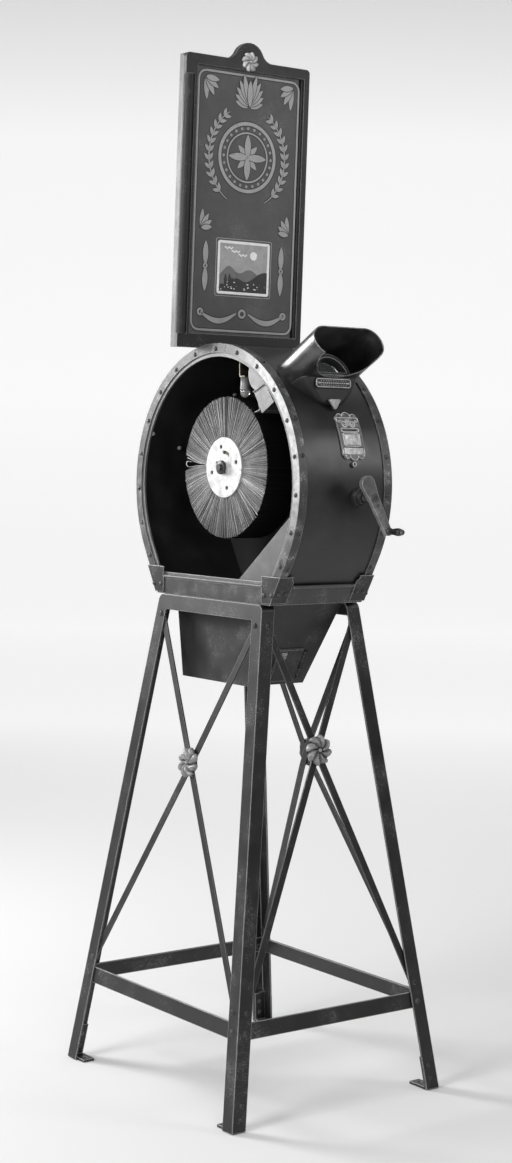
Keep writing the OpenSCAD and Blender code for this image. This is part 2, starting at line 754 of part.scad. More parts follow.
// Cash door with a bevelled edge and two knuckles on its right side
module cash_door() {
    color("#222121") hopper_wall() {
        translate([door_x, -gap - door_t / 2, door_s]) rotate([90, 0, 0]) difference() {
            union() {
                translate([0, 0, -door_t / 2]) linear_extrude(door_t * 0.5 + 0.1)
                    square([door_w, door_h], center = true);
                linear_extrude(door_t * 0.5) square([door_w - 5, door_h - 5], center = true);
            }
            translate([lock_x - door_x, lock_s - door_s, -10]) cylinder(d = 9 + 2 * fit, h = 20);
        }
        for (z = [-1, 1]) difference() {
            union() {
                translate([hinge_x, -gap - 2.5, door_s + z * 14 - 5.5]) cylinder(d = 5, h = 11);
                translate([hinge_x - 4.5, -gap - 1.5, door_s + z * 14 - 5.5]) cube([4.5, 1.5, 11]);
            }
            translate([hinge_x, -gap - 2.5, door_s + z * 14 - 10]) cylinder(d = 2.5 + 2 * fit, h = 20);
        }
    }
}

// Hinge leaf on the hopper with its middle and end knuckles and the pin
module door_hinge() {
    color("#4d4b47") hopper_wall() {
        translate([hinge_x, -gap - 2.5, door_s - 27]) cylinder(d = 2.5, h = 54);
        for (z = [-1, 0, 1])
            translate([hinge_x, -gap - 2.5, door_s + z * 24 - (z == 0 ? 8 : 4)])
                cylinder(d = 5, h = z == 0 ? 16 : 8);
        for (z = [-1, 0, 1])
            translate([hinge_x, -1.5, door_s + z * 24 - (z == 0 ? 8 : 4)])
                cube([4.5, 1.5, z == 0 ? 16 : 8]);
        translate([hinge_x + 3.4, -1.5, door_s - 28]) cube([6, 1.5, 56]);
    }
}

// Shield-shaped plate round the lock
module lock_plate() {
    color("#b9b7b0") hopper_wall() translate([lock_x, -gap - door_t, lock_s])
        rotate([90, 0, 0]) linear_extrude(1.2) difference() {
            polygon([[-8, 8], [8, 8], [8, -3], [4, -9], [0, -12], [-4, -9], [-8, -3]]);
            circle(d = 9 + 2 * fit);
        }
}

// Lock plug, shown unlocked: its cam turns up behind the hopper's wall
module lock_plug() {
    color("#a9a69c") hopper_wall() translate([lock_x, -gap - door_t - 2, lock_s])
        rotate([-90, 0, 0]) {
            difference() {
                cylinder(d = 9, h = door_t + 6);
                translate([-0.6, -3, -1]) cube([1.2, 6, 3]);
            }
            translate([-4, -4, door_t + 4.2]) cube([15, 8, 1.8]);
        }
}

// Hood and front

module hood_frame() on_drum(hood_rise) children();

// Arched outline of the eyepiece: a circle cut level at a drop below its middle
module eye_outline(r, drop) {
    translate([0, hood_offset - hood_h / 2 + 7]) intersection() {
        circle(r);
        translate([-2 * r, -drop]) square(4 * r);
    }
}

// Viewing hood: an oval scoop cut to the drum, with a round cut-out for the nose
module hood() {
    color("#1d1c1d") difference() {
        hood_frame() difference() {
            translate([0, hood_offset, hood_root]) linear_extrude(hood_reach - hood_root) difference() {
                round_rect(hood_w, hood_h, hood_h / 2 - 0.5);
                round_rect(hood_w - 2 * hood_t, hood_h - 2 * hood_t, hood_h / 2 - 0.5 - hood_t);
            }
            translate([0, hood_offset + 5, hood_reach - 7]) rotate([90, 0, 0])
                cylinder(r = hood_w * 0.415, h = hood_h);
        }
        translate([-drum_w, 0, drum_z]) rotate([0, 90, 0]) cylinder(r = shell_r + fit, h = 2 * drum_w);
    }
}

// Cast base below the hood: it carries the badge and runs out to a point on the drum
module hood_base() {
    color("#211f20") difference() {
        hood_frame() hull() {
            translate([-46, apron_v, apron_w - 16]) cube([92, 2 - fit, 16]);
            translate([-hood_w / 2 + 12, apron_v - 12, drum_r - 62]) cube([hood_w - 24, 14 - fit, 46]);
            translate([-4, point_v, point_w - 28]) cube([8, 8, 28]);
        }
        translate([-drum_w, 0, drum_z]) rotate([0, 90, 0]) cylinder(r = shell_r + fit, h = 2 * drum_w);
    }
}

// Arched tube between the lens and the viewer's eyes
module eyepiece() {
    color("#171617") difference() {
        hood_frame() translate([0, 0, hood_root]) linear_extrude(drum_r + 28 - hood_root) difference() {
            eye_outline(eye_r + 7, 7 - hood_t - fit);
            eye_outline(eye_r, 0);
        }
        translate([-drum_w, 0, drum_z]) rotate([0, 90, 0]) cylinder(r = shell_r + fit, h = 2 * drum_w);
    }
}

// Magnifying glass in the arched tube
module viewing_lens() {
    color([0.75, 0.8, 0.82, 0.6]) hood_frame() translate([0, 0, drum_r + 6])
        linear_extrude(5) eye_outline(eye_r - fit, -fit);
}

// Frame on the sloping front of the hood base: Z outward, a share of the way up from its point
module on_apron(share) {
    hood_frame() translate([0, point_v + (apron_v - point_v) * share, point_w + (apron_w - point_w) * share])
        rotate([apron_tilt, 0, 0]) children();
}

// Blank badge on the hood's base
module name_badge() {
    color("#55534e") on_apron(badge_up) translate([0, 0, fit]) linear_extrude(1.6) round_rect(78, 17, 6);
}

// Screws and studs of the front: hood boss, coin plate and badge
module front_screws() {
    color("#8f8c84") {
        on_apron(0.14) translate([0, 0, fit]) linear_extrude(3.5)
            polygon([[-13, 6], [-10, 8], [10, 8], [13, 6], [2.5, -9], [-2.5, -9]]);
        for (x = [-1, 1])
            on_apron(badge_up) translate([x * 34, 0, 1.6 + 2 * fit]) cylinder(d1 = 4.5, d2 = 3, h = 1.2);
        for (x = [-1, 1], y = [-1, 1])
            on_drum(along_drum(y * (plate_h / 2 + 1.95))) translate([coin_x + x * 20, 0, drum_r + 0.6])
                cylinder(d1 = 5, d2 = 3.4, h = 1.8);
        on_drum(along_drum(-plate_h / 2 - 16.45)) translate([coin_x - 3, 0, shell_r + 0.1]) difference() {
            cylinder(d = 9, h = 5);
            translate([0, 0, 1.5]) cylinder(d = 5, h = 5);
        }
    }
}

// Coin plate: bright casting bent to the drum, with scalloped ends and the coin slot
module coin_plate() {
    color("#c4c2ba") difference() {
        intersection() {
            translate([-drum_w, 0, drum_z]) rotate([0, 90, 0]) cylinder(r = drum_r + 0.6, h = 2 * drum_w);
            on_drum(coin_angle) translate([coin_x, 0, drum_r - 30]) linear_extrude(60) {
                square([plate_w, plate_h], center = true);
                for (x = [-1, 1], y = [-1, 1])
                    translate([x * (plate_w / 2 - 10), y * plate_h / 2]) circle(d = 14);
                for (y = [-1, 1])
                    translate([0, y * plate_h / 2]) circle(d = 20);
            }
        }
        translate([-drum_w, 0, drum_z]) rotate([0, 90, 0]) cylinder(r = shell_r + fit, h = 2 * drum_w);
        on_drum(coin_angle) translate([coin_x - slot_w / 2, 8.5, drum_r - 20]) cube([slot_w, 3, 40]);
    }
}

// Outline in X and Z of the coin way, wide under the slot and shifted left past the crank shaft
module chute_outline(in, over) {
    top = drum_z + 84 + over;
    low = stand_h + 82 - over;
    polygon([[coin_x - 19 + in, top], [coin_x + 15 - in, top], [coin_x + 15 - in, drum_z + 50],
        [crank_x - 12 - in, crank_z + 22], [crank_x - 12 - in, low], [crank_x - 44 + in, low],
        [crank_x - 44 + in, crank_z + 22], [coin_x - 19 + in, drum_z + 50]]);
}

// Coin way: a sloping tongue from the slot and a flat chute that stands on the floor
module coin_chute() {
    y1 = chute_y + chute_d;
    top = drum_z + 84;
    color("#8a8883") {
        through(chute_y, y1) difference() {
            chute_outline(0, 0);
            chute_outline(1.5, 5);
        }
        for (y = [chute_y, y1 - 1.5])
            through(y, y + 1.5) chute_outline(0, 0);
        translate([coin_x - 19, y1 - 1.5, top - 1]) cube([34, 1.5, 16]);
        for (x = [crank_x - 50, crank_x - 14])
            translate([x, y1 - 1.5, stand_h + 2]) cube([8, 1.5, 90]);
        across(coin_x - 18, coin_x + 14)
            polygon([[chute_y, top - 2], [chute_y + 1.5, top], [-drum_r + 26, top + 15], [-drum_r + 25, top + 13]]);
    }
}

// Bracket on the floor that carries the coin lever's pin
module lever_bracket() {
    y0 = lever_base_y;
    color("#55534e") {
        for (x = [lever_x - 20, lever_x + 17]) difference() {
            across(x, x + 3) polygon([[y0, stand_h + 2], [y0 + lever_base_d, stand_h + 2],
                [lever_y + 8, lever_z - 8], [lever_y + 8, lever_z + 8], [lever_y - 8, lever_z + 8],
                [y0, stand_h + 30]]);
            translate([lever_x - 30, lever_y, lever_z]) rotate([0, 90, 0]) cylinder(d = 5, h = 60);
        }
        translate([lever_x - 18, y0, stand_h + 2]) cube([36, lever_base_d, 2]);
        translate([lever_x - 21, lever_y, lever_z]) rotate([0, 90, 0]) cylinder(d = 5, h = 42);
    }
}

// Coin lever: the falling coin tips its paddle, and the weight brings it back
module coin_lever() {
    color("#9a968a") difference() {
        translate([lever_x, lever_y, lever_z]) {
            rotate([0, 90, 0]) translate([0, 0, -15]) cylinder(d = 11, h = 30);
            rotate([-8, 0, 0]) translate([-14, -42, 2]) cube([28, 42, 2]);
            rotate([-14, 0, 0]) translate([-3, 0, 0]) cube([6, 34, 4]);
            rotate([-14, 0, 0]) translate([-9, 26, -5]) cube([18, 14, 14]);
        }
        translate([lever_x - 30, lever_y, lever_z]) rotate([0, 90, 0]) cylinder(d = 5 + 2 * fit, h = 60);
    }
}

// Mechanism

// Casting on the right side that bears the reel shaft and the inner crank bearings
module mechanism_frame() {
    plate_x = half_w - ring_t - sheet_t;
    color("#3d3c3a") difference() {
        union() {
            translate([plate_x - 6, -52, reel_z - 74]) cube([6, 104, 112]);
            translate([crank_x + 12, 0, reel_z]) rotate([0, 90, 0]) cylinder(d = 34, h = plate_x - crank_x - 12);
            for (y = [-1, 1])
                translate([crank_x - 12, y * 47 - 5, crank_z - 12]) cube([plate_x - crank_x + 8, 10, 24]);
        }
        translate([crank_x, 0, reel_z]) rotate([0, 90, 0]) cylinder(d = shaft_d + 2 * fit, h = drum_w);
        translate([crank_x, -80, crank_z]) rotate([-90, 0, 0]) cylinder(d = shaft_d + 2 * fit, h = 160);
        frame_bolts() translate([0, 0, -20]) cylinder(d = 6 + 2 * fit, h = 40);
    }
    color("#6d6b66") frame_bolts() bolt(6, sheet_t + 6, true);
}

// Flanged bush of the crank shaft in the drum's front
module crank_bush() {
    color("#4b4a47") difference() {
        union() {
            difference() {
                translate([crank_x, -drum_r - 8, crank_z]) rotate([-90, 0, 0]) cylinder(d = 34, h = 12);
                translate([-drum_w, 0, drum_z]) rotate([0, 90, 0]) cylinder(r = shell_r + fit, h = 2 * drum_w);
            }
            translate([crank_x, -drum_r - 14, crank_z]) rotate([-90, 0, 0]) cylinder(d = 22, h = 30);
        }
        translate([crank_x, -drum_r - 20, crank_z]) rotate([-90, 0, 0])
            cylinder(d = shaft_d + 2 * fit, h = 50);
    }
}

// Crank shaft with its collar inside the casing
module crank_shaft() {
    color("#6f6d68") {
        translate([crank_x, arm_y - arm_t / 2 - 1.5, crank_z]) rotate([-90, 0, 0])
            cylinder(d = shaft_d, h = -arm_y + arm_t / 2 + 63.5);
        translate([crank_x, 52 + gap, crank_z]) rotate([-90, 0, 0]) cylinder(d = 20, h = 8);
    }
}

// Single-thread worm on the crank shaft
module worm() {
    root = worm_r - 1.15 * tooth_m;
    tip = worm_r + 0.9 * tooth_m;
    half_tip = 29;
    half_root = 112;
    turns = 4;
    function thread_r(a) = abs(a) <= half_tip ? tip
        : abs(a) >= half_root ? root
        : tip - (tip - root) * (abs(a) - half_tip) / (half_root - half_tip);
    len = turns * worm_lead;
    color("#8d8a80") translate([crank_x, -len / 2, crank_z]) rotate([-90, 0, 0]) difference() {
        union() {
            linear_extrude(len, twist = -360 * turns, slices = 14 * turns, $fn = 16)
                polygon([for (a = [-180 : 18 : 162]) thread_r(a) * [cos(a + 90), sin(a + 90)]]);
            translate([0, 0, -8]) cylinder(r = root - 0.2, h = 8.5);
            translate([0, 0, len - 0.5]) cylinder(r = root - 0.2, h = 8.5);
        }
        translate([0, 0, -10]) cylinder(d = shaft_d + 2 * fit, h = len + 20);
    }
}

// Crank arm with its round counterweight end
module crank_arm() {
    heel = 28;
    heel_r = 14;
    r0 = 10;
    r1 = 7.5;
    color("#2c2b2a") translate([crank_x, arm_y, crank_z]) rotate([90, 0, 0])
        rotate([0, 0, arm_angle]) translate([0, 0, -arm_t / 2]) difference() {
            linear_extrude(arm_t) {
                translate([-heel, 0]) circle(heel_r);
                circle(r0);
                translate([crank_throw, 0]) circle(r1);
                polygon([[-heel, -heel_r * 0.97], [-heel * 0.55, -heel_r * 0.9], [0, -r0 * 0.97],
                    [crank_throw, -r1 * 0.97], [crank_throw, r1 * 0.97], [0, r0 * 0.97],
                    [-heel * 0.55, heel_r * 0.9], [-heel, heel_r * 0.97]]);
            }
            translate([0, 0, -1]) cylinder(d = shaft_d + 2 * fit, h = arm_t + 2);
            translate([crank_throw, 0, -1]) cylinder(d = 6 + 2 * fit, h = arm_t + 2);
        }
}

module at_handle() {
    translate([crank_x + crank_throw * cos(arm_angle), 0, crank_z + crank_throw * sin(arm_angle)]) children();
}

// Spindle riveted in the arm's end
module handle_spindle() {
    color("#77756f") at_handle() {
        translate([0, grip_y - grip_len - 1, 0]) rotate([-90, 0, 0])
            cylinder(d = 6, h = grip_len + arm_t + 2.5);
        translate([0, grip_y - grip_len - 3.5, 0]) rotate([-90, 0, 0]) cylinder(d1 = 6, d2 = 10, h = 2.5);
        translate([0, arm_y + arm_t / 2, 0]) rotate([-90, 0, 0]) cylinder(d1 = 9, d2 = 6, h = 1.5);
    }
}

// Turned grip that runs on the spindle
module handle_grip() {
    l = grip_len - 0.6;
    color("#1a1818") at_handle() translate([0, grip_y, 0]) rotate([90, 0, 0]) difference() {
        rotate_extrude() polygon([[0, 0], [6, 0], [7, 2], [5.2, 5], [5.6, l * 0.35], [6.9, l * 0.65],
            [6.6, l * 0.85], [5, l], [0, l]]);
        translate([0, 0, -1]) cylinder(d = 6 + 2 * fit, h = grip_len + 2);
    }
}

// Reel

module at_reel(x) translate([x, 0, reel_z]) rotate([0, 90, 0]) children();

// Reel shaft with its collar behind the worm wheel and the cross pin at its end
module reel_shaft() {
    bear_x = crank_x + 12;
    end_x = half_w - ring_t - sheet_t - 0.5;
    color("#3b3a38") {
        at_reel(hub_x - 12) cylinder(d = shaft_d, h = end_x - hub_x + 12);
        translate([hub_x - 8, -9, reel_z]) rotate([-90, 0, 0]) cylinder(d = 4, h = 18);
        at_reel(bear_x - 3 - gap) cylinder(d = 22, h = 3);
    }
}

// Worm wheel; one tooth gap's flanks clear the thread on each side
module worm_wheel() {
    pitch = 360 / wheel_teeth;
    ro = wheel_r + 0.9 * tooth_m;
    ri = wheel_r - 1.15 * tooth_m;
    w_tip = 1.0;
    w_root = 4.0;
    color("#a08b5a") at_reel(crank_x - 4) difference() {
        union() {
            linear_extrude(8) {
                circle(ri);
                for (k = [0 : wheel_teeth - 1])
                    rotate([0, 0, k * pitch]) polygon([[ri - 1, -w_root / 2], [ro, -w_tip / 2],
                        [ro, w_tip / 2], [ri - 1, w_root / 2]]);
            }
            translate([0, 0, -6]) cylinder(d = 26, h = 14);
        }
        translate([0, 0, -10]) cylinder(d = shaft_d + 2 * fit, h = 30);
        for (k = [0 : 4])
            rotate([0, 0, 72 * k]) translate([23, 0, -10]) cylinder(d = 12, h = 30);
    }
}

// Core of the reel with the driving flange behind it
module reel_core() {
    color("#5a4630") difference() {
        union() {
            at_reel(card_x0) cylinder(r = hub_r - 6, h = card_w);
            at_reel(card_x1) cylinder(r = hub_r, h = 3);
            at_reel(card_x1) cylinder(d = 30, h = crank_x - 10 - gap - card_x1);
        }
        at_reel(hub_x - 20) cylinder(d = shaft_d + 2 * fit, h = drum_w);
        for (k = [0 : 3])
            rotate_reel(90 * k - 15) translate([hub_x - 20, 38, reel_z]) rotate([0, 90, 0])
                cylinder(d = 8, h = 40);
    }
}

// Turns a piece about the reel's axis
module rotate_reel(a) {
    translate([0, 0, reel_z]) rotate([a, 0, 0]) translate([0, 0, -reel_z]) children();
}

// White metal hub plate with its holes and curved slot
module hub_plate() {
    color("#d8d6cf") difference() {
        union() {
            at_reel(hub_x) cylinder(r = hub_r, h = 3);
            at_reel(hub_x - 3) cylinder(d = 22, h = 3.5);
        }
        at_reel(hub_x - 20) cylinder(d = shaft_d + 2 * fit, h = 40);
        for (k = [0 : 3])
            rotate_reel(90 * k - 15) translate([hub_x - 5, 38, reel_z]) rotate([0, 90, 0])
                cylinder(d = 8, h = 10);
        intersection() {
            at_reel(hub_x - 5) difference() {
                cylinder(r = 30, h = 12);
                translate([0, 0, -1]) cylinder(r = 24, h = 14);
            }
            translate([hub_x - 10, -16, reel_z + 10]) cube([20, 20, 30]);
        }
    }
}

// Pack of cards round the core, with the parting where the first card stands
module card_pack() {
    color("#b4a88c") difference() {
        at_reel(card_x0) difference() {
            cylinder(r = reel_r, h = card_w);
            translate([0, 0, -1]) cylinder(r = hub_r - 6, h = card_w + 2);
        }
        rotate_reel(3) translate([card_x0 - 1, 0, 0]) across(0, card_w + 2)
            polygon([[hub_r + 16, reel_z], [reel_r + 5, reel_z + 5.5], [reel_r + 5, reel_z - 5.5]]);
        rotate_reel(-139) translate([card_x0 - 1, 0, 0]) across(0, card_w + 2)
            polygon([[hub_r + 8, reel_z], [reel_r + 5, reel_z + 1], [reel_r + 5, reel_z - 1]]);
    }
}

// Lamp and viewing parts

lamp_x = -half_w + 32;
lamp_y = -48;
lamp_z = reel_z + reel_r - 3;

// Small pear bulb that hangs above the reel
module lamp_bulb() {
    color([0.9, 0.9, 0.86, 0.7]) translate([lamp_x, lamp_y, lamp_z]) rotate_extrude()
        polygon([[0, 0], [4, 0.8], [7.6, 4], [9, 9], [8.4, 14], [6, 19], [5, 22], [5, 27], [0, 27]]);
}

// Socket and the bent strap that holds it under the crown
module lamp_socket() {
    top = drum_z + sqrt(pow(shell_r - sheet_t, 2) - pow(abs(lamp_y) + 9, 2));
    color("#8f7a45") difference() {
        union() {
            translate([lamp_x, lamp_y, lamp_z + 19.5]) cylinder(d = 17, h = 18);
            translate([lamp_x - 8, lamp_y - 8, lamp_z + 37]) cube([16, 16, 2]);
            translate([lamp_x - 8, lamp_y + 6, lamp_z + 37]) cube([16, 2, top - lamp_z - 37.6 + 4]);
        }
        translate([lamp_x, lamp_y, lamp_z + 18]) cylinder(d = 10.2, h = 9.5);
        translate([lamp_x, lamp_y, lamp_z + 18]) cylinder(d1 = 15, d2 = 11, h = 4);
        difference() {
            translate([lamp_x - 20, lamp_y - 30, top - 10]) cube([40, 60, 60]);
            translate([-drum_w, 0, drum_z]) rotate([0, 90, 0]) cylinder(r = shell_r - sheet_t - fit, h = 2 * drum_w);
        }
    }
}

// Point in Y and Z at a distance from the reel's shaft and an angle up from the back
function by_reel(r, a) = [r * cos(a), reel_z + r * sin(a)];

// Bright bent sheet behind the eyepiece, with the lip that holds each card back
module view_mask() {
    x0 = -half_w + 24;
    r = shell_r - sheet_t - fit;
    tin_t = 1.4;
    round_r = 30;
    bends = [[-r * sin(24), drum_z + r * cos(24)], [-(drum_r - 37) * sin(21), drum_z + (drum_r - 37) * cos(21)],
        by_reel(reel_r + 18, 135), by_reel(reel_r + 5, 132)];
    seam = [by_reel(reel_r + 31.4, 122.2), by_reel(reel_r + 61.4, 128.2)];
    low = [by_reel(reel_r + 57.2, 141), by_reel(reel_r + 19, 138.7)];
    along = seam[1] - seam[0];
    slope = atan2(along[1], along[0]);
    color("#cfcdc6") intersection() {
        union() {
            across(x0, x0 + 62) for (k = [0 : 2])
                let (a = bends[k], run = bends[k + 1] - a, turn = atan2(run[1], run[0]), back = k == 0 ? 6 : 0.7)
                translate(a) rotate(turn) translate([-back, -0.7]) square([norm(run) + back + 0.7, tin_t]);
            // Cheek towards the open side: a rounded upper plate and a square lower one with a folded edge
            across(x0, x0 + tin_t) {
                polygon([seam[0], seam[1], low[0], low[1]]);
                difference() {
                    translate([(shell_r - round_r) * cos(116.4), drum_z + (shell_r - round_r) * sin(116.4)])
                        circle(round_r);
                    translate(seam[0]) rotate(slope) translate([-2 * round_r, -1.2])
                        square([5 * round_r, 3 * round_r]);
                }
            }
            across(x0 - 2.5, x0 + 0.5) translate(seam[0]) rotate(slope) square([norm(along), 1.2]);
        }
        translate([-drum_w, 0, drum_z]) rotate([0, 90, 0]) cylinder(r = r, h = 2 * drum_w);
    }
}

// Sign

// Tray case of the sign with its back board
module sign_case() {
    color("#252424") sign_frame_at() difference() {
        translate([-sign_w / 2 + 1, 10, 0]) cube([sign_w - 2, sign_d - 10, sign_h - 2]);
        translate([-sign_w / 2 + 8, 9, 8]) cube([sign_w - 16, sign_d - 13, sign_h - 18]);
    }
}

// Outline of the front frame: rounded shoulders and an ogee arch in the middle of the top
module sign_outline() {
    arch_r = 33;
    sweep_r = 24;
    shoulder = 8;
    // The arch's circle has its middle on the top edge, and each sweep circle touches it and the edge
    reach = sqrt(pow(arch_r + sweep_r, 2) - pow(sweep_r, 2));
    meet = atan2(sweep_r, reach);
    turns = 8;
    function bend(x, y, r, a, b) = [for (k = [0 : turns])
        let (t = a + (b - a) * k / turns) [x + r * cos(t), y + r * sin(t)]];
    polygon(concat([[-sign_w / 2, 0], [sign_w / 2, 0]],
        bend(sign_w / 2 - shoulder, sign_h - shoulder, shoulder, 0, 90),
        bend(reach, sign_h + sweep_r, sweep_r, 270, 180 + meet),
        bend(0, sign_h, arch_r, meet + 3, 177 - meet),
        bend(-reach, sign_h + sweep_r, sweep_r, -meet, -90),
        bend(shoulder - sign_w / 2, sign_h - shoulder, shoulder, 90, 180)));
}

// Front frame of the sign; the left stile is left open for the sliding panel
module sign_frame() {
    color("#2c2b2a") sign_frame_at() translate([0, 10 - fit, 0]) rotate([90, 0, 0]) {
        difference() {
            linear_extrude(10 - fit) sign_outline();
            translate([0, 0, -1]) linear_extrude(20)
                translate([-sign_w / 2 + 26, 26]) square([sign_w - 38, sign_h - 45]);
            translate([0, 0, -1]) linear_extrude(4.5)
                translate([-sign_w / 2 + 4, 20]) square([sign_w - 14, sign_h - 36]);
            translate([-sign_w / 2 - 1, 24, 5]) cube([21, sign_h - 62, 20]);
        }
    }
}

// Panel that slides in from the left behind the frame
module sign_panel() {
    color("#76756f") sign_frame_at()
        translate([-sign_w / 2 + 22, 10 - fit - 3, 21]) cube([sign_w - 33, 2.6, sign_h - 38]);
}

// Half-round strip that closes the panel's way in
module sign_strip() {
    color("#333231") sign_frame_at() intersection() {
        translate([-sign_w / 2 + 10, 5, 24.3]) cylinder(r = 9.6, h = sign_h - 62.6);
        translate([-sign_w / 2, -9, 0]) cube([40, 14 - fit, sign_h]);
    }
}

module sign_rosette() {
    color("#c9c7bf") sign_frame_at() translate([0, 0, sign_h - 2]) rotate([90, 0, 0])
        rosette(crest_d, 7);
}

// Sector behind the crown between two angles, about the drum's centre
module back_sector(a0, a1) {
    far = 2 * drum_r;
    polygon([[0, 0], [far * sin(a0), far * cos(a0)], [far * sin((a0 + a1) / 2), far * cos((a0 + a1) / 2)],
        [far * sin(a1), far * cos(a1)]]);
}

// Side outline of a sign bracket: a foot bent to the drum and an upright behind the case
module bracket_outline() {
    difference() {
        union() {
            intersection() {
                circle(shell_r + 3);
                back_sector(17, 56);
            }
            translate([sign_y, sign_seat]) rotate(sign_lean)
                translate([sign_d + fit, -40]) square([3, 160]);
        }
        circle(shell_r + fit);
    }
}

// Two bent straps that carry the sign's case on the back of the drum
module sign_brackets() {
    color("#353433") for (x = [-58, 58]) {
        translate([0, 0, drum_z]) across(x - 11, x + 11) bracket_outline();
        for (z = [40, 90])
            sign_frame_at() translate([x, sign_d + 2.8, z]) rotate([-90, 0, 0])
                cylinder(d1 = 8, d2 = 5, h = 2.6);
    }
}

stand_frame_left();
stand_frame_right();
strut_front();
strut_back();
strut_left();
strut_right();
straps_front();
straps_left();
straps_right();
brace_rosettes();
feet_left();
feet_right();
stand_fasteners();
casing_floor();
drum_shell();
side_panel();
ring_left();
ring_right();
ring_rivets();
window_bead();
gusset_plate();
base_band();
corner_brackets();
bracket_bolts();
hopper();
cash_door();
door_hinge();
lock_plate();
lock_plug();
hood();
hood_base();
eyepiece();
viewing_lens();
name_badge();
front_screws();
coin_plate();
coin_chute();
coin_lever();
lever_bracket();
mechanism_frame();
crank_bush();
crank_shaft();
worm();
crank_arm();
handle_spindle();
handle_grip();
reel_shaft();
worm_wheel();
reel_core();
hub_plate();
card_pack();
lamp_bulb();
lamp_socket();
view_mask();
sign_case();
sign_frame();
sign_panel();
sign_strip();
sign_rosette();
sign_brackets();
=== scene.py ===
import math

import bmesh
import bpy
import numpy as np
from mathutils import Matrix, Vector


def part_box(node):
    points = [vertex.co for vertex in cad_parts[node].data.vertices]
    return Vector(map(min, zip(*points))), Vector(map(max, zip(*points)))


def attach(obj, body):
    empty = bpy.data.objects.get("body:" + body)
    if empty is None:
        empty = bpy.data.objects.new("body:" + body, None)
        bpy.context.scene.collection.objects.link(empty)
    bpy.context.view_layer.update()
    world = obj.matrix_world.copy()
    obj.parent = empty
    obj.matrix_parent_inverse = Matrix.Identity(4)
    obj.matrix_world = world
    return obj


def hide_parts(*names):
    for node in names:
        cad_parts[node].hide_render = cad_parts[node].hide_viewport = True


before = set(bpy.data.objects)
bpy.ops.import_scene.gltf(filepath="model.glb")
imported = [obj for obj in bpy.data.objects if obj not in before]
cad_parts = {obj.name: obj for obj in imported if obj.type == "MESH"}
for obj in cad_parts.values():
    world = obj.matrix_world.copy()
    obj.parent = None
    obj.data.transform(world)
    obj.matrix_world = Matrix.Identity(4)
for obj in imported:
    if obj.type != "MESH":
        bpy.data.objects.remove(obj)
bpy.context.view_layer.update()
MM = 0.001

# The studio: a pale paper sweep on the floor that rises behind the machine, and soft lights at the left,
# the front, above and behind. The camera stands level where the photograph was taken, with a little roll.


def linear(code):
    """An sRGB hex colour as linear RGBA."""
    channels = [int(code[k:k + 2], 16) / 255 for k in (1, 3, 5)]
    return [c / 12.92 if c <= 0.04045 else ((c + 0.055) / 1.055) ** 2.4 for c in channels] + [1.0]


def add(tree, kind, inputs=None, **settings):
    """One shader node with its settings and links. An input is a value, or the socket that feeds it."""
    made = tree.nodes.new(kind)
    for name, value in settings.items():
        setattr(made, name, value)
    for name, value in (inputs or {}).items():
        socket = made.inputs[name]
        if isinstance(value, bpy.types.NodeSocket):
            tree.links.new(value, socket)
        else:
            socket.default_value = value
    return made


def empty_finish(name):
    """A new material with an empty tree."""
    made = bpy.data.materials.new(name)
    made.use_nodes = True
    made.node_tree.nodes.clear()
    return made, made.node_tree


def solid(name, parts, material, smooth=True):
    """One object of closed shells, each given as (points, faces) in metres, with outward faces."""
    points, faces = [], []
    for part_points, part_faces in parts:
        start = len(points)
        points += [tuple(p) for p in part_points]
        faces += [tuple(start + k for k in f) for f in part_faces]
    data = bpy.data.meshes.new(name)
    data.from_pydata(points, [], faces)
    shape = bmesh.new()
    shape.from_mesh(data)
    bmesh.ops.recalc_face_normals(shape, faces=shape.faces)
    shape.to_mesh(data)
    shape.free()
    data.materials.append(material)
    if smooth:
        data.shade_smooth()
    made = bpy.data.objects.new(name, data)
    bpy.context.scene.collection.objects.link(made)
    return made


AZIMUTH = math.radians(36.5)
toward = Vector((math.sin(AZIMUTH), math.cos(AZIMUTH), 0))
across = Vector((math.cos(AZIMUTH), -math.sin(AZIMUTH), 0))

# Matt background paper: near white, without gloss, with one broad and very faint mottle
paper, tree = empty_finish("sweep_paper")
mottle = add(tree, "ShaderNodeTexNoise", {"Scale": 3.0, "Detail": 4.0, "Roughness": 0.5})
tone = add(tree, "ShaderNodeMix", {0: mottle.outputs["Fac"], 6: linear("#d6d6d6"), 7: linear("#dcdcdc")},
           data_type="RGBA")
# The far paper glows as painted light that grows towards the back and fades towards its top; the same fade
# darkens its colour towards the top as painted shade
place = add(tree, "ShaderNodeTexCoord").outputs["Object"]
level = add(tree, "ShaderNodeSeparateXYZ", {0: place})
painted_top_falloff = add(tree, "ShaderNodeMapRange", {"Value": level.outputs["Z"], "From Min": 3.3, "From Max": 5.6,
                                        "To Min": 1.0, "To Max": 0.5})
back = add(tree, "ShaderNodeVectorMath", {0: place, 1: tuple(toward)}, operation="DOT_PRODUCT")
far = add(tree, "ShaderNodeMapRange", {"Value": back.outputs["Value"], "From Min": 0.6, "From Max": 4.6,
                                       "To Min": 0.0, "To Max": 0.5})
painted_backlight_glow = add(tree, "ShaderNodeMath", {0: far.outputs["Result"], 1: painted_top_falloff.outputs["Result"]},
           operation="MULTIPLY")
painted_falloff_tone = add(tree, "ShaderNodeMix", {0: 1.0, 6: tone.outputs[2], 7: painted_top_falloff.outputs["Result"]},
             data_type="RGBA", blend_type="MULTIPLY")
skin = add(tree, "ShaderNodeBsdfPrincipled", {"Base Color": painted_falloff_tone.outputs[2], "Roughness": 0.95,
                                              "Specular IOR Level": 0.1, "Emission Color": linear("#ffffff"),
                                              "Emission Strength": painted_backlight_glow.outputs["Value"]})
add(tree, "ShaderNodeOutputMaterial", {"Surface": skin.outputs[0]})

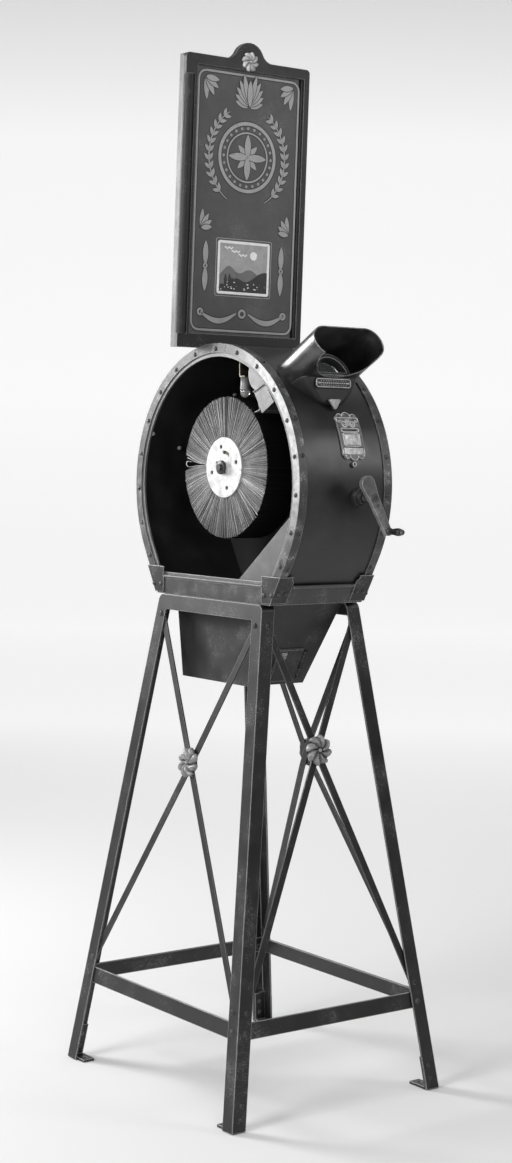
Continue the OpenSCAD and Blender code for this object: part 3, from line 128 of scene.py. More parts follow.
# In metres: the paper's near edge, where its curve starts, the curve's radius, its top and half width
PAPER_NEAR, PAPER_FAR, PAPER_CURVE, PAPER_TOP, PAPER_SIDE = -12.0, 9.0, 1.5, 9.0, 12.0
profile = [(PAPER_NEAR, 0.0), (PAPER_FAR, 0.0)]
profile += [(PAPER_FAR + PAPER_CURVE * math.sin(t), PAPER_CURVE - PAPER_CURVE * math.cos(t))
            for t in np.linspace(0.1, math.pi / 2, 14)]
profile += [(PAPER_FAR + PAPER_CURVE, PAPER_TOP)]
sweep_points = [tuple(toward * along + across * side + Vector((0, 0, up)))
                for along, up in profile for side in (-PAPER_SIDE, PAPER_SIDE)]
sweep_faces = [(2 * k, 2 * k + 1, 2 * k + 3, 2 * k + 2) for k in range(len(profile) - 1)]
sweep_data = bpy.data.meshes.new("paper_sweep")
sweep_data.from_pydata(sweep_points, [], sweep_faces)
sweep_data.materials.append(paper)
sweep_data.shade_smooth()
sweep = bpy.data.objects.new("paper_sweep", sweep_data)
bpy.context.scene.collection.objects.link(sweep)

# The room is white all round but dark towards the front right, so that black paint shows its left faces
# grey and its front faces near black
DARK_SIDE = (0.66, -0.75, -0.05)
world = bpy.data.worlds.new("studio")
bpy.context.scene.world = world
world.use_nodes = True
sky = world.node_tree
room = add(sky, "ShaderNodeTexCoord").outputs["Generated"]
facing = add(sky, "ShaderNodeVectorMath", {0: room, 1: DARK_SIDE}, operation="DOT_PRODUCT")
shade = add(sky, "ShaderNodeMapRange", {"Value": facing.outputs["Value"], "From Min": 0.15, "From Max": 0.9,
                                        "To Min": 0.5, "To Max": 0.08}, interpolation_type="SMOOTHSTEP")
background = sky.nodes["Background"]
background.inputs["Color"].default_value = linear("#ffffff")
sky.links.new(shade.outputs["Result"], background.inputs["Strength"])


def soft_light(name, place, aim, width, height, watts):
    """A rectangular softbox at place that faces aim."""
    data = bpy.data.lights.new(name, "AREA")
    data.shape = "RECTANGLE"
    data.size, data.size_y, data.energy = width, height, watts
    made = bpy.data.objects.new(name, data)
    made.location = place
    made.rotation_mode = "QUATERNION"
    made.rotation_quaternion = (Vector(aim) - Vector(place)).to_track_quat("-Z", "Y")
    bpy.context.scene.collection.objects.link(made)
    return made


soft_light("key_left", (-3.2, -0.4, 2.5), (0, 0, 1.1), 1.2, 2.0, 80)
soft_light("back_window", (-1.16, 2.09, 1.82), (-0.07, -0.2, 1.3), 0.8, 0.9, 60)
soft_light("front_right", (1.9, -2.4, 2.2), (0, 0, 0.95), 0.8, 1.0, 19)
soft_light("front_fill", (-1.6, -3.6, 2.2), (0, 0, 0.9), 1.8, 1.4, 26)
soft_light("sweep_wash", toward * 1.2 + Vector((0, 0, 4.4)), toward * 3.4 + Vector((0, 0, 0.4)), 5.0, 1.0,
           22)

# The lens in the photograph's own pixels: its focal length, the frame's height and the horizon's row
FOCAL_PX, HEIGHT_PX, HORIZON_PX, SENSOR_MM = 2035.69, 1163, 448.93, 36
CAMERA_BACK, CAMERA_UP = 3.6953, 1.131
lens_data = bpy.data.cameras.new("camera")
lens_data.lens = FOCAL_PX / HEIGHT_PX * SENSOR_MM
lens_data.shift_y = (HORIZON_PX - HEIGHT_PX / 2) / HEIGHT_PX
camera = bpy.data.objects.new("camera", lens_data)
yaw, roll = math.radians(-0.11), math.radians(0.96)
ahead = toward * math.cos(yaw) + across * math.sin(yaw)
camera.location = toward * -CAMERA_BACK + Vector((0, 0, CAMERA_UP))
camera.rotation_mode = "QUATERNION"
aimed = ahead.to_track_quat("-Z", "Y")
camera.rotation_quaternion = aimed @ Matrix.Rotation(roll, 3, "Z").to_quaternion()
bpy.context.scene.collection.objects.link(camera)
bpy.context.scene.camera = camera
bpy.context.scene.view_settings.view_transform = "Standard"

# The stand: two inverted Us bent from angle iron, riveted to flat bars and crossed straps.
# The iron is brushed with black paint, which has gone grey round the bolts and on the edges, where the grey
# is partly wear and partly a painted highlight.


def worn_finish(name, coat, pale, bare, rough, metal=0.0, patch_mm=60, grain_mm=2.2, edge_mm=1.4,
                edge_wear=0.6, spots=0.0, bump_mm=0.12, gloss=0.5):
    """Paint or metal with broad stains, fine grain, and a bare tone on the edges and in spots. The edge tone
    is wear, and on some finishes also a painted highlight along the edges. Returns the material, its tree,
    its colour mix and its shader."""
    made, tree = empty_finish(name)
    place = add(tree, "ShaderNodeTexCoord").outputs["Object"]
    stain = add(tree, "ShaderNodeTexNoise", {"Vector": place, "Scale": 1 / (patch_mm * MM), "Detail": 6.0,
                                             "Roughness": 0.62})
    grain = add(tree, "ShaderNodeTexNoise", {"Vector": place, "Scale": 1 / (grain_mm * MM), "Detail": 3.0,
                                             "Roughness": 0.6})
    bevel = add(tree, "ShaderNodeBevel", {"Radius": edge_mm * MM}, samples=4)
    flat = add(tree, "ShaderNodeNewGeometry")
    turn = add(tree, "ShaderNodeVectorMath", {0: bevel.outputs["Normal"], 1: flat.outputs["Normal"]},
               operation="DOT_PRODUCT")
    edge = add(tree, "ShaderNodeMapRange", {"Value": turn.outputs["Value"], "From Min": 0.995,
                                            "From Max": 0.86, "To Min": 0.0, "To Max": edge_wear})
    chips = add(tree, "ShaderNodeMath", {0: grain.outputs["Fac"], 1: stain.outputs["Fac"]},
                operation="MULTIPLY")
    flakes = add(tree, "ShaderNodeMapRange", {"Value": chips.outputs["Value"], "From Min": 0.33,
                                              "From Max": 0.37, "To Min": 0.0, "To Max": spots})
    worn = add(tree, "ShaderNodeMath", {0: edge.outputs["Result"], 1: flakes.outputs["Result"]},
               operation="ADD", use_clamp=True)
    mottle = add(tree, "ShaderNodeMapRange", {"Value": stain.outputs["Fac"], "From Min": 0.38,
                                              "From Max": 0.64})
    paint = add(tree, "ShaderNodeMix", {0: mottle.outputs["Result"], 6: linear(coat), 7: linear(pale)},
                data_type="RGBA")
    colour = add(tree, "ShaderNodeMix", {0: worn.outputs["Value"], 6: paint.outputs[2], 7: linear(bare)},
                 data_type="RGBA")
    sheen = add(tree, "ShaderNodeMapRange", {"Value": stain.outputs["Fac"], "From Min": 0.3,
                                             "From Max": 0.7, "To Min": max(0.03, rough - 0.07),
                                             "To Max": rough + 0.09})
    bump = add(tree, "ShaderNodeBump", {"Height": grain.outputs["Fac"], "Distance": bump_mm * MM,
                                        "Strength": 0.6, "Normal": bevel.outputs["Normal"]})
    skin = add(tree, "ShaderNodeBsdfPrincipled", {
        "Base Color": colour.outputs[2], "Roughness": sheen.outputs["Result"], "Metallic": metal,
        "Specular IOR Level": gloss, "Normal": bump.outputs["Normal"]})
    add(tree, "ShaderNodeOutputMaterial", {"Surface": skin.outputs[0]})
    return made, tree, colour, skin


def dress(material, *nodes):
    """Gives CAD nodes their finish."""
    for node in nodes:
        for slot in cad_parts[node].material_slots:
            slot.material = material


# Brushed black oil paint, index about 1.5: satin, dusty, grey along the arrises, partly where hands and
# boots have rubbed them and partly a painted highlight along the edges
stand_paint = worn_finish("brushed_black_paint", "#151515", "#222222", "#b8b8b8", 0.42, edge_wear=1.0,
                          spots=0.2, patch_mm=70, bump_mm=0.2, edge_mm=2.4)[0]
strap_paint = worn_finish("strap_black_paint", "#131313", "#1e1e1e", "#8a8a8a", 0.46, edge_wear=0.9,
                          spots=0.2, bump_mm=0.15)[0]
bolt_paint = worn_finish("bolt_black_paint", "#131313", "#242424", "#8a8a8a", 0.34, edge_wear=0.7,
                         spots=0.3, grain_mm=1.2)[0]
dress(stand_paint, "strut_front", "strut_back", "strut_left", "strut_right", "feet_left", "feet_right")
dress(strap_paint, "straps_front", "straps_left", "straps_right")
dress(bolt_paint, "stand_fasteners")

# In millimetres: the stand's height, its half widths and depths at the top and the foot, and its angle iron
STAND_H, TOP_HALF_W, TOP_HALF_D, FOOT_HALF_W, FOOT_HALF_D = 862, 107, 158, 227, 261
ANGLE_W, ANGLE_T, CORNER_R, BAR_END = 28, 3.2, 13, 1.5
splay = math.atan2(FOOT_HALF_W - TOP_HALF_W, STAND_H)
slope_top = STAND_H / math.cos(splay)
leg_run = Vector((TOP_HALF_D - FOOT_HALF_D, slope_top)).normalized()


def loft(rings, closed=False):
    """A skin over equal rings of points, capped at both ends unless it closes on itself."""
    n, count = len(rings), len(rings[0])
    faces = []
    for i in range(n if closed else n - 1):
        m = (i + 1) % n
        for j in range(count):
            k = (j + 1) % count
            faces.append((i * count + j, i * count + k, m * count + k, m * count + j))
    if not closed:
        faces += [tuple(range(count)), tuple((n - 1) * count + j for j in range(count))]
    return [p for ring in rings for p in ring], faces


def stand_stations():
    """Stations along the bent bar in its face: the outer edge, one thickness in, and the inner edge."""
    half_turn = (math.pi / 2 + math.atan2(-leg_run.x, leg_run.y)) / 2
    corner = Vector((-TOP_HALF_D, slope_top))
    middle = corner + Vector((CORNER_R / math.tan(half_turn), -CORNER_R))
    bisect = (middle - corner).normalized()
    fold = corner + bisect * (ANGLE_W / math.sin(half_turn))
    mirrored = Vector((-leg_run.x, leg_run.y))
    foot, flank = Vector((-FOOT_HALF_D, BAR_END)), Vector((mirrored.y, -mirrored.x))
    left = [(foot, foot + flank * ANGLE_T, foot + flank * ANGLE_W)]
    start, stop = math.pi - math.atan2(mirrored.x, mirrored.y), math.pi / 2
    for t in np.linspace(start, stop, 9):
        out = Vector((math.cos(t), math.sin(t)))
        left.append((middle + out * CORNER_R, middle + out * (CORNER_R - ANGLE_T), fold))
    right = [tuple(Vector((-p.x, p.y)) for p in station) for station in reversed(left)]
    return left + right


def stand_side(sign):
    """The bent angle bar of one side, as a closed solid."""
    def place(depth, at):
        up = at.y + depth * math.tan(splay)
        x = -FOOT_HALF_W + depth * math.cos(splay) + up * math.sin(splay)
        height = max(0.0, -depth * math.sin(splay) + up * math.cos(splay))
        return Vector((sign * -x, at.x, height)) * MM
    return loft([[place(0, a), place(0, c), place(ANGLE_T, c), place(ANGLE_T, b), place(ANGLE_W, b),
                  place(ANGLE_W, a)] for a, b, c in stand_stations()])


def soften(piece, width_mm, segments=2, angle=30):
    """Welds a piece's seams and rounds its arrises."""
    weld = piece.modifiers.new("weld", "WELD")
    weld.merge_threshold = 1e-5
    bevel = piece.modifiers.new("soften", "BEVEL")
    bevel.width, bevel.segments = width_mm * MM, segments
    bevel.limit_method, bevel.angle_limit = "ANGLE", math.radians(angle)
    bevel.harden_normals = True
    return piece


for side_name, sign in (("left", 1), ("right", -1)):
    bar = soften(solid("stand_bar_" + side_name, [stand_side(sign)], stand_paint, smooth=False), 0.8)
    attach(bar, "base")
    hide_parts("stand_frame_" + side_name)

# The brace flowers and the crest flower: low grey iron castings of eight petals that swirl round an eye,
# each held by a rivet through its middle over the crossing of the straps or on the sign's arch.


def islands(node):
    """The corner points of each loose part of a CAD node, in a fixed order."""
    shape = bmesh.new()
    shape.from_mesh(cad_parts[node].data)
    bmesh.ops.remove_doubles(shape, verts=shape.verts, dist=2e-5)
    shape.verts.ensure_lookup_table()
    seen, parts = [False] * len(shape.verts), []
    for first in range(len(shape.verts)):
        if seen[first]:
            continue
        seen[first] = True
        waiting, part = [first], []
        while waiting:
            vert = shape.verts[waiting.pop()]
            part.append(tuple(vert.co))
            for edge in vert.link_edges:
                other = edge.other_vert(vert).index
                if not seen[other]:
                    seen[other] = True
                    waiting.append(other)
        parts.append(np.array(part))
    shape.free()
    return sorted(parts, key=lambda p: tuple(np.round(p.mean(0), 4)))


def flat_axis(points):
    """The middle of a low round part and the direction in which it is thinnest."""
    middle = (points.min(0) + points.max(0)) / 2
    spread = np.linalg.svd(points - points.mean(0), full_matrices=False)[2]
    return Vector(middle), Vector(spread[2])


def heights_of(points, middle, out):
    """How far each point stands from the middle in a direction."""
    return (points - np.array(middle)) @ np.array(out)


def circle(middle, side, other, radius, segments):
    """Points round a circle in the plane of two unit vectors."""
    turns = [2 * math.pi * j / segments for j in range(segments)]
    return [middle + (side * math.cos(a) + other * math.sin(a)) * radius for a in turns]


def dome(base, out, radius, height, segments=20, rings=5):
    """A low round head on its base, as a closed solid."""
    side = out.orthogonal().normalized()
    other = out.cross(side)
    levels = [math.pi / 2 * i / rings for i in range(rings)]
    points, faces = loft([circle(base + out * (height * math.sin(t)), side, other, radius * math.cos(t),
                                 segments) for t in levels])
    last = len(points) - segments
    faces[-1:] = [(last + j, last + (j + 1) % segments, len(points)) for j in range(segments)]
    points.append(base + out * height)
    return points, faces


def shell_faces(rows, columns):
    """Faces of two sheets of rows by columns points, one after the other, joined round their border."""
    count = rows * columns
    faces = []
    for i in range(rows - 1):
        for j in range(columns - 1):
            a = i * columns + j
            faces.append((a, a + columns, a + columns + 1, a + 1))
            faces.append((count + a, count + a + 1, count + a + columns + 1, count + a + columns))
    border = list(range(columns)) + [i * columns + columns - 1 for i in range(1, rows)]
    border += [(rows - 1) * columns + j for j in range(columns - 2, -1, -1)]
    border += [i * columns for i in range(rows - 2, 0, -1)]
    faces += [(a, b, count + b, count + a) for a, b in zip(border, border[1:] + border[:1])]
    return faces


PETALS, SWIRL, PETAL_ROWS, PETAL_COLUMNS = 8, 0.62, 15, 9


def petals(d, h, base, out):
    """Eight swirled petals of a casting of diameter d and height h in metres, and its eye, facing out."""
    side = out.orthogonal().normalized()
    other = out.cross(side)
    parts = []
    for k in range(PETALS):
        points = []
        for level in (0, 1):
            for i in range(PETAL_ROWS):
                s = i / (PETAL_ROWS - 1)
                r = (0.2 + 0.8 * s) * d / 2
                tip = math.sqrt(max(0.004, 1 - (max(0.0, s - 0.62) / 0.38) ** 2))
                half = math.pi / PETALS * 0.93 * tip * (0.7 + 0.3 * min(1.0, s / 0.3))
                for j in range(PETAL_COLUMNS):
                    t = 2 * j / (PETAL_COLUMNS - 1) - 1
                    a = 2 * math.pi * k / PETALS + SWIRL * s + half * t
                    body = math.sin(math.pi * (0.14 + 0.76 * s)) ** 0.6 * math.sqrt(1 - 0.92 * t * t)
                    ridge = 0.1 * max(0.0, 1 - abs(t) / 0.2)
                    rise = h * (0.1 + 0.82 * body + ridge * body) * level
                    points.append(base + side * (r * math.cos(a)) + other * (r * math.sin(a)) + out * rise)
        parts.append((points, shell_faces(PETAL_ROWS, PETAL_COLUMNS)))
    parts.append(dome(base + out * h * 0.3, out, 0.16 * d / 2, h * 0.65, 16, 4))
    return parts


# Grey cast iron, rubbed with graphite: dull metal, with painted shade in the gaps between the petals from a
# near-black disc laid under them
flower_iron = worn_finish("rubbed_grey_iron", "#767676", "#9c9c9c", "#dadada", 0.36, metal=0.2,
                          patch_mm=14, grain_mm=1.2, edge_wear=0.6, spots=0.5, bump_mm=0.25)[0]
# White metal from a finer mould: paler, and bright on the ridges
crest_iron = worn_finish("rubbed_white_metal", "#b0b0b0", "#d0d0d0", "#ededed", 0.36, metal=0.15,
                         patch_mm=10, grain_mm=1.0, edge_wear=0.6, spots=0.5, bump_mm=0.2)[0]
# A near-black disc under each casting: painted shade that shows in the gaps between the petals
petal_gap_shade = worn_finish("painted_shade_between_petals", "#141414", "#1e1e1e", "#3a3a3a", 0.5, edge_wear=0.3,
                          patch_mm=12, grain_mm=1.2)[0]
FLOWER_D, CREST_D, CREST_H = 54 * MM, 36 * MM, 7 * MM
SIGN_LEAN = math.radians(1.8)
stand_heart = Vector((0, 0, 0.52))
seats = []
for part in islands("brace_rosettes"):
    middle, out = flat_axis(part)
    if out.dot(middle - stand_heart) < 0:
        out = -out
    heights = heights_of(part, middle, out)
    seats.append((FLOWER_D, float(heights.max() - heights.min()), middle + out * float(heights.min()), out))
low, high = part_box("sign_rosette")
crest_middle = (low + high) / 2
crest_out = Vector((0, -math.cos(SIGN_LEAN), -math.sin(SIGN_LEAN)))
crest_low = float(heights_of(islands("sign_rosette")[0], crest_middle, crest_out).min())
crest_seat = (CREST_D, CREST_H, crest_middle + crest_out * crest_low, crest_out)
for name, node, iron, places, slot in (
        ("brace_flowers", "brace_rosettes", flower_iron, seats, "rosette_metal"),
        ("crest_flower", "sign_rosette", crest_iron, [crest_seat], "sign_rosette_metal")):
    bright = solid(name, [part for d, h, base, out in places for part in petals(d, h, base, out)], iron)
    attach(bright, "base")
    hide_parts(node)
    painted_gap_discs = [dome(base, out, 0.45 * d, 0.16 * h, 40, 3) for d, h, base, out in places]
    back = solid(name + "_back", painted_gap_discs, petal_gap_shade)
    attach(back, "base")

# The casing: a drum of rolled sheet on leaning sides with a flat right side, a tray floor and a hopper.
# It is stove-enamelled black, deep and even, with dust on the flats and a dull bloom inside.

# Stove enamel on sheet iron: a hard, smooth, deep black with a soft gloss, knocked back at its edges
enamel = worn_finish("stove_enamel", "#141414", "#202020", "#5c5c5c", 0.38, edge_wear=0.35, spots=0.14,
                     patch_mm=90, grain_mm=1.6, bump_mm=0.04, gloss=0.6)[0]
# The hopper has a thinner coat that shows grey iron along its folds, and the inside a flat black wash
hopper_enamel = worn_finish("hopper_enamel", "#1f1f1f", "#2c2c2c", "#9a9a9a", 0.42, edge_wear=0.9,
                            spots=0.25, patch_mm=60, bump_mm=0.1)[0]
inside_black = worn_finish("inside_black_wash", "#151515", "#202020", "#383838", 0.7, edge_wear=0.2,
                           spots=0.25, patch_mm=80)[0]
dress(enamel, "drum_shell")
dress(inside_black, "side_panel", "casing_floor")
dress(hopper_enamel, "hopper", "cash_door")

# The rings, base band, corner brackets and bead: angle iron and strip, once painted grey. Round the crown
# and down the front the left ring is pale, partly rubbed to bright metal where visitors' hands have held the
# casing and partly a painted reflection of the studio light.
DRUM_Z, DRUM_R = 1066.5, 252

# Grey paint over iron: dull, with bare metal showing in spots wherever the paint has lifted
ring_paint, tree, ring_colour, ring_skin = worn_finish(
    "rubbed_ring_paint", "#3c3c3c", "#555555", "#b9b9b9", 0.45, metal=0.15, edge_wear=0.55, spots=0.7,
    patch_mm=24, grain_mm=1.6, bump_mm=0.2)
place = add(tree, "ShaderNodeTexCoord").outputs["Object"]
spot = add(tree, "ShaderNodeSeparateXYZ", {0: place})
up = add(tree, "ShaderNodeMath", {0: spot.outputs["Z"], 1: DRUM_Z * MM}, operation="SUBTRACT")
front = add(tree, "ShaderNodeMath", {0: spot.outputs["Y"], 1: -1.0}, operation="MULTIPLY")
turn = add(tree, "ShaderNodeMath", {0: front.outputs["Value"], 1: up.outputs["Value"]}, operation="ARCTAN2")
rubbed = add(tree, "ShaderNodeTexNoise", {"Vector": place, "Scale": 1 / (11 * MM), "Detail": 8.0,
                                          "Roughness": 0.75})
# Angle from the crown towards the front, in radians, where the pale band of wear and painted reflection
# starts and ends
rise = add(tree, "ShaderNodeMapRange", {"Value": turn.outputs["Value"], "From Min": 0.22, "From Max": 0.62})
fall = add(tree, "ShaderNodeMapRange", {"Value": turn.outputs["Value"], "From Min": 2.05, "From Max": 1.55})
arc = add(tree, "ShaderNodeMath", {0: rise.outputs["Result"], 1: fall.outputs["Result"]},
          operation="MULTIPLY")
# Only the outer face of the left ring carries the pale band, which lies beyond these places across, in
# millimetres
FACE_FROM, FACE_TO = -101.2, -101.8
face = add(tree, "ShaderNodeMapRange", {"Value": spot.outputs["X"], "From Min": FACE_FROM * MM,
                                        "From Max": FACE_TO * MM})
rubbed_and_reflected_band = add(tree, "ShaderNodeMath", {0: arc.outputs["Value"], 1: face.outputs["Result"]},
           operation="MULTIPLY")
break_up = add(tree, "ShaderNodeMapRange", {"Value": rubbed.outputs["Fac"], "From Min": 0.36,
                                            "From Max": 0.62, "To Min": 0.4, "To Max": 1.0})
bright = add(tree, "ShaderNodeMath", {0: rubbed_and_reflected_band.outputs["Value"], 1: break_up.outputs["Result"]},
             operation="MULTIPLY")
# The pale band's colour: partly bare metal, partly painted reflection
polish_and_painted_reflection = add(tree, "ShaderNodeMix", {0: bright.outputs["Value"], 6: ring_colour.outputs[2],
                                     7: linear("#bebebe")}, data_type="RGBA")
tree.links.new(polish_and_painted_reflection.outputs[2], ring_skin.inputs["Base Color"])
# The band, bead and plate wear the same paint: whole on the flat plate, pale along the band's bead and
# edges, partly bare metal and partly a painted highlight
band_paint = worn_finish("rubbed_band_paint", "#303030", "#3c3c3c", "#d0d0d0", 0.42, edge_wear=1.0,
                         spots=0.2, patch_mm=45, grain_mm=1.6, bump_mm=0.2, edge_mm=2.2)[0]
bead_paint = worn_finish("rubbed_bead_paint", "#565656", "#6a6a6a", "#c0c0c0", 0.4, edge_wear=0.95,
                         spots=0.4, patch_mm=40, grain_mm=1.4, bump_mm=0.12, edge_mm=1.6)[0]
gusset_paint = worn_finish("grey_plate_paint", "#565656", "#626262", "#8a8a8a", 0.5, edge_wear=0.5,
                           spots=0.3, patch_mm=50, grain_mm=1.4)[0]
dress(ring_paint, "ring_left", "ring_right")
dress(band_paint, "base_band")
dress(stand_paint, "corner_brackets")
dress(bead_paint, "window_bead")
dress(gusset_paint, "gusset_plate")

# The round-headed rivets of the rings and brackets, of soft iron, painted with what they hold. Each was
# closed hot by hand in a snap, so its head is a low dome.
HEAD_R, HEAD_H = 4.2, 2.7


def domes_on(node, radius, height):
    """A dome for each low cone of a CAD node, seated where the cone is widest."""
    made = []
    for part in islands(node):
        middle, out = flat_axis(part)
        heights = heights_of(part, middle, out)
        off = np.linalg.norm((part - np.array(middle)) - np.outer(heights, np.array(out)), axis=1)
        if off[heights > 0].max() > off[heights <= 0].max():
            out = -out
            heights = -heights
        made.append(dome(middle + out * float(heights.min()), out, radius, height))
    return made


# Rivets are darker than the rubbed ring: paint holds on in the corner round each head
rivet_iron = worn_finish("painted_rivet", "#262626", "#3a3a3a", "#8c8c8c", 0.35, edge_wear=0.4, spots=0.3,
                         grain_mm=1.0, patch_mm=12)[0]
for node in ("ring_rivets", "bracket_bolts"):
    heads = solid(node + "_round", domes_on(node, HEAD_R * MM, HEAD_H * MM), rivet_iron)
    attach(heads, "base")
    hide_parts(node)

# The viewing hood: an oval scoop of sheet with its edge rolled over a wire and cut out for the nose,
# on a cast skirt that carries the badge and runs down to a point, with an arched eyepiece inside.
HOOD_RISE = math.radians(30)
# In millimetres: the scoop's width, height, sheet, offset above its axis and reach, and the nose cut-out
HOOD_W, HOOD_H, HOOD_T, HOOD_OFFSET, HOOD_REACH = 150, 60, 1.6, 91.4, 344
NOSE_R, NOSE_Z = 62.25, 337
LOBE_R = HOOD_H / 2 - 0.5
LOBE_X = HOOD_W / 2 - LOBE_R


def in_hood(x, up_axis, out):
    """A point in metres from millimetres across, square to the hood's axis, and out along it."""
    return Vector((x, up_axis * math.sin(HOOD_RISE) - out * math.cos(HOOD_RISE),
                   DRUM_Z + up_axis * math.cos(HOOD_RISE) + out * math.sin(HOOD_RISE))) * MM


def wire(path, radius, segments=10):
    """A round wire along a path that closes on itself."""
    rings, side = [], None
    for i, p in enumerate(path):
        run = (path[(i + 1) % len(path)] - path[i - 1]).normalized()
        side = (side - run * side.dot(run)).normalized() if side else run.orthogonal().normalized()
        rings.append(circle(p, side, run.cross(side), radius, segments))
    return loft(rings, closed=True)


def low_edge(x):
    """Height of the scoop's underside in the hood's frame at a place across."""
    over = max(0.0, abs(x) - LOBE_X)
    return HOOD_OFFSET - 0.5 - math.sqrt(max(0.0, LOBE_R ** 2 - over ** 2))


WIRE_R, LIP_R = HOOD_T / 2 + 0.35, LOBE_R - HOOD_T / 2
cut = math.acos((math.sqrt(NOSE_R ** 2 - (HOOD_REACH - NOSE_Z) ** 2) - LOBE_X) / LIP_R)
rim = []
for lobe, start, stop in ((1, -cut, math.pi / 2), (-1, math.pi / 2, math.pi + cut)):
    for t in np.linspace(start, stop, 18):
        rim.append(in_hood(lobe * LOBE_X + LIP_R * math.cos(t), HOOD_OFFSET + LIP_R * math.sin(t),
                           HOOD_REACH))
dip = math.asin((HOOD_REACH - NOSE_Z) / NOSE_R)
for t in np.linspace(-dip, math.pi + dip, 40)[1:-1]:
    x = -NOSE_R * math.cos(t)
    rim.append(in_hood(x, low_edge(x) + HOOD_T / 2, NOSE_Z - NOSE_R * math.sin(t)))
# The wire is painted mid grey, far paler than the enamel: a painted highlight along the rolled edge, with
# spots of bare iron
rim_painted_highlight = worn_finish("rim_wire_painted_highlight", "#5a5a5a", "#8a8a8a", "#c8c8c8", 0.3, metal=0.4, edge_wear=0.2,
                         spots=0.6, patch_mm=20, grain_mm=1.0, edge_mm=0.4)[0]
hood_rim = solid("hood_rim", [wire(rim, WIRE_R * MM)], rim_painted_highlight)
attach(hood_rim, "base")

# In millimetres: the skirt's foot above the hood's axis, the radius of the drum's sheet, and the cast
# apron's radius at its foot, its swell to the top and its rise. The skirt is flat over 0.8 of its width.
SKIRT_LOW, SKIRT_FLAT, SKIRT_ROWS, SKIRT_COLUMNS = 20, 0.8, 18, 45
SHELL_R, APRON_LOW, APRON_SWELL, APRON_RISE = 249.5, 253.5, 22.5, 47.4
# Cast iron under the same enamel, a little rough from the sand
cast_black = worn_finish("enamelled_casting", "#121212", "#1a1a1a", "#484848", 0.46, edge_wear=0.4,
                         spots=0.2, patch_mm=40, grain_mm=1.8, bump_mm=0.25)[0]
outer, inner = [], []
for i in range(SKIRT_ROWS):
    s = i / (SKIRT_ROWS - 1)
    half = 10 + 56 * s ** 0.62
    flat = SKIRT_FLAT * half
    for j in range(SKIRT_COLUMNS):
        x = half * (2 * j / (SKIRT_COLUMNS - 1) - 1)
        up_here = SKIRT_LOW + s * (low_edge(x) + 0.8 - SKIRT_LOW)
        on_drum = math.sqrt(SHELL_R ** 2 - up_here ** 2)
        apron = APRON_LOW + APRON_SWELL * s
        share = math.sqrt(max(0.0, 1 - (max(0.0, abs(x) - flat) / (half - flat)) ** 2))
        outer.append(in_hood(x, up_here, on_drum + 0.2 + (apron - on_drum - 0.2) * share))
        inner.append(in_hood(x, up_here, on_drum - 0.3))
skirt = solid("hood_skirt", [(outer + inner, shell_faces(SKIRT_ROWS, SKIRT_COLUMNS))], cast_black)
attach(skirt, "base")
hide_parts("hood_base")

# The scoop is pressed from thin sheet and enamelled like the drum, so its lobes catch the window light
hood_enamel = worn_finish("hood_enamel", "#1a1a1a", "#262626", "#8a8a8a", 0.31, edge_wear=0.6, spots=0.2,
                          patch_mm=30, grain_mm=1.6, bump_mm=0.15, gloss=1.0)[0]
# The eyepiece is dull black with its arrises painted pale: a painted highlight along the edges of its arch
eyepiece_black = worn_finish("dull_eyepiece_black", "#242424", "#343434", "#d0d0d0", 0.45, edge_wear=1.0,
                             patch_mm=30, edge_mm=2.6)[0]
dress(hood_enamel, "hood")
dress(eyepiece_black, "eyepiece")

# The lens in the eyepiece is a single disc of crown glass, ground and set in the tube. It is clear, with
# a little dust on it, and shows the dark casing behind it; its index is that of crown glass, 1.52.
lens_glass, tree = empty_finish("dusty_crown_glass")
place = add(tree, "ShaderNodeTexCoord").outputs["Object"]
dust = add(tree, "ShaderNodeTexNoise", {"Vector": place, "Scale": 1 / (4 * MM), "Detail": 5.0})
haze = add(tree, "ShaderNodeMapRange", {"Value": dust.outputs["Fac"], "From Min": 0.4, "From Max": 0.7,
                                        "To Min": 0.03, "To Max": 0.22})
skin = add(tree, "ShaderNodeBsdfPrincipled", {"Base Color": linear("#e8ecee"), "IOR": 1.52,
                                              "Roughness": haze.outputs["Result"],
                                              "Transmission Weight": 0.94})
add(tree, "ShaderNodeOutputMaterial", {"Surface": skin.outputs[0]})
dress(lens_glass, "viewing_lens")

# The badge and the coin plate: thin white-metal castings with low relief, held by small screws. Neither
# carries a word: the badge has rows of pearls in a rim, the coin plate scrolls, a framed field and a foot.


def ribbon(path, widths, low, high, place, closed=False):
    """A flat strip with chamfered edges along a path in the plane of a plate. place(u, v, h) sets it."""
    n = len(path)
    rings = []
    for i, (u, v) in enumerate(path):
        before = path[i - 1] if closed or i > 0 else path[0]
        after = path[(i + 1) % n] if closed or i < n - 1 else path[-1]
        run = (after[0] - before[0], after[1] - before[1])
        size = math.hypot(*run) or 1.0
        nx, ny = -run[1] / size, run[0] / size
        w = max(widths[i] if isinstance(widths, list) else widths, 0.12) / 2
        inner_w = max(w - (high - low) * 0.6, w * 0.45)
        rings.append([place(u + nx * off, v + ny * off, h)
                      for off, h in ((-w, low), (w, low), (inner_w, high), (-inner_w, high))])
    return loft(rings, closed)


def round_box(w, h, r, middle=(0, 0), steps=5):
    """Points round a rectangle with rounded corners."""
    path = []
    for sx, sy, start in ((1, 1, 0), (-1, 1, 90), (-1, -1, 180), (1, -1, 270)):
        for t in np.linspace(start, start + 90, steps):
            a = math.radians(t)
            path.append((middle[0] + sx * (w / 2 - r) + r * math.cos(a),
                         middle[1] + sy * (h / 2 - r) + r * math.sin(a)))
    return path


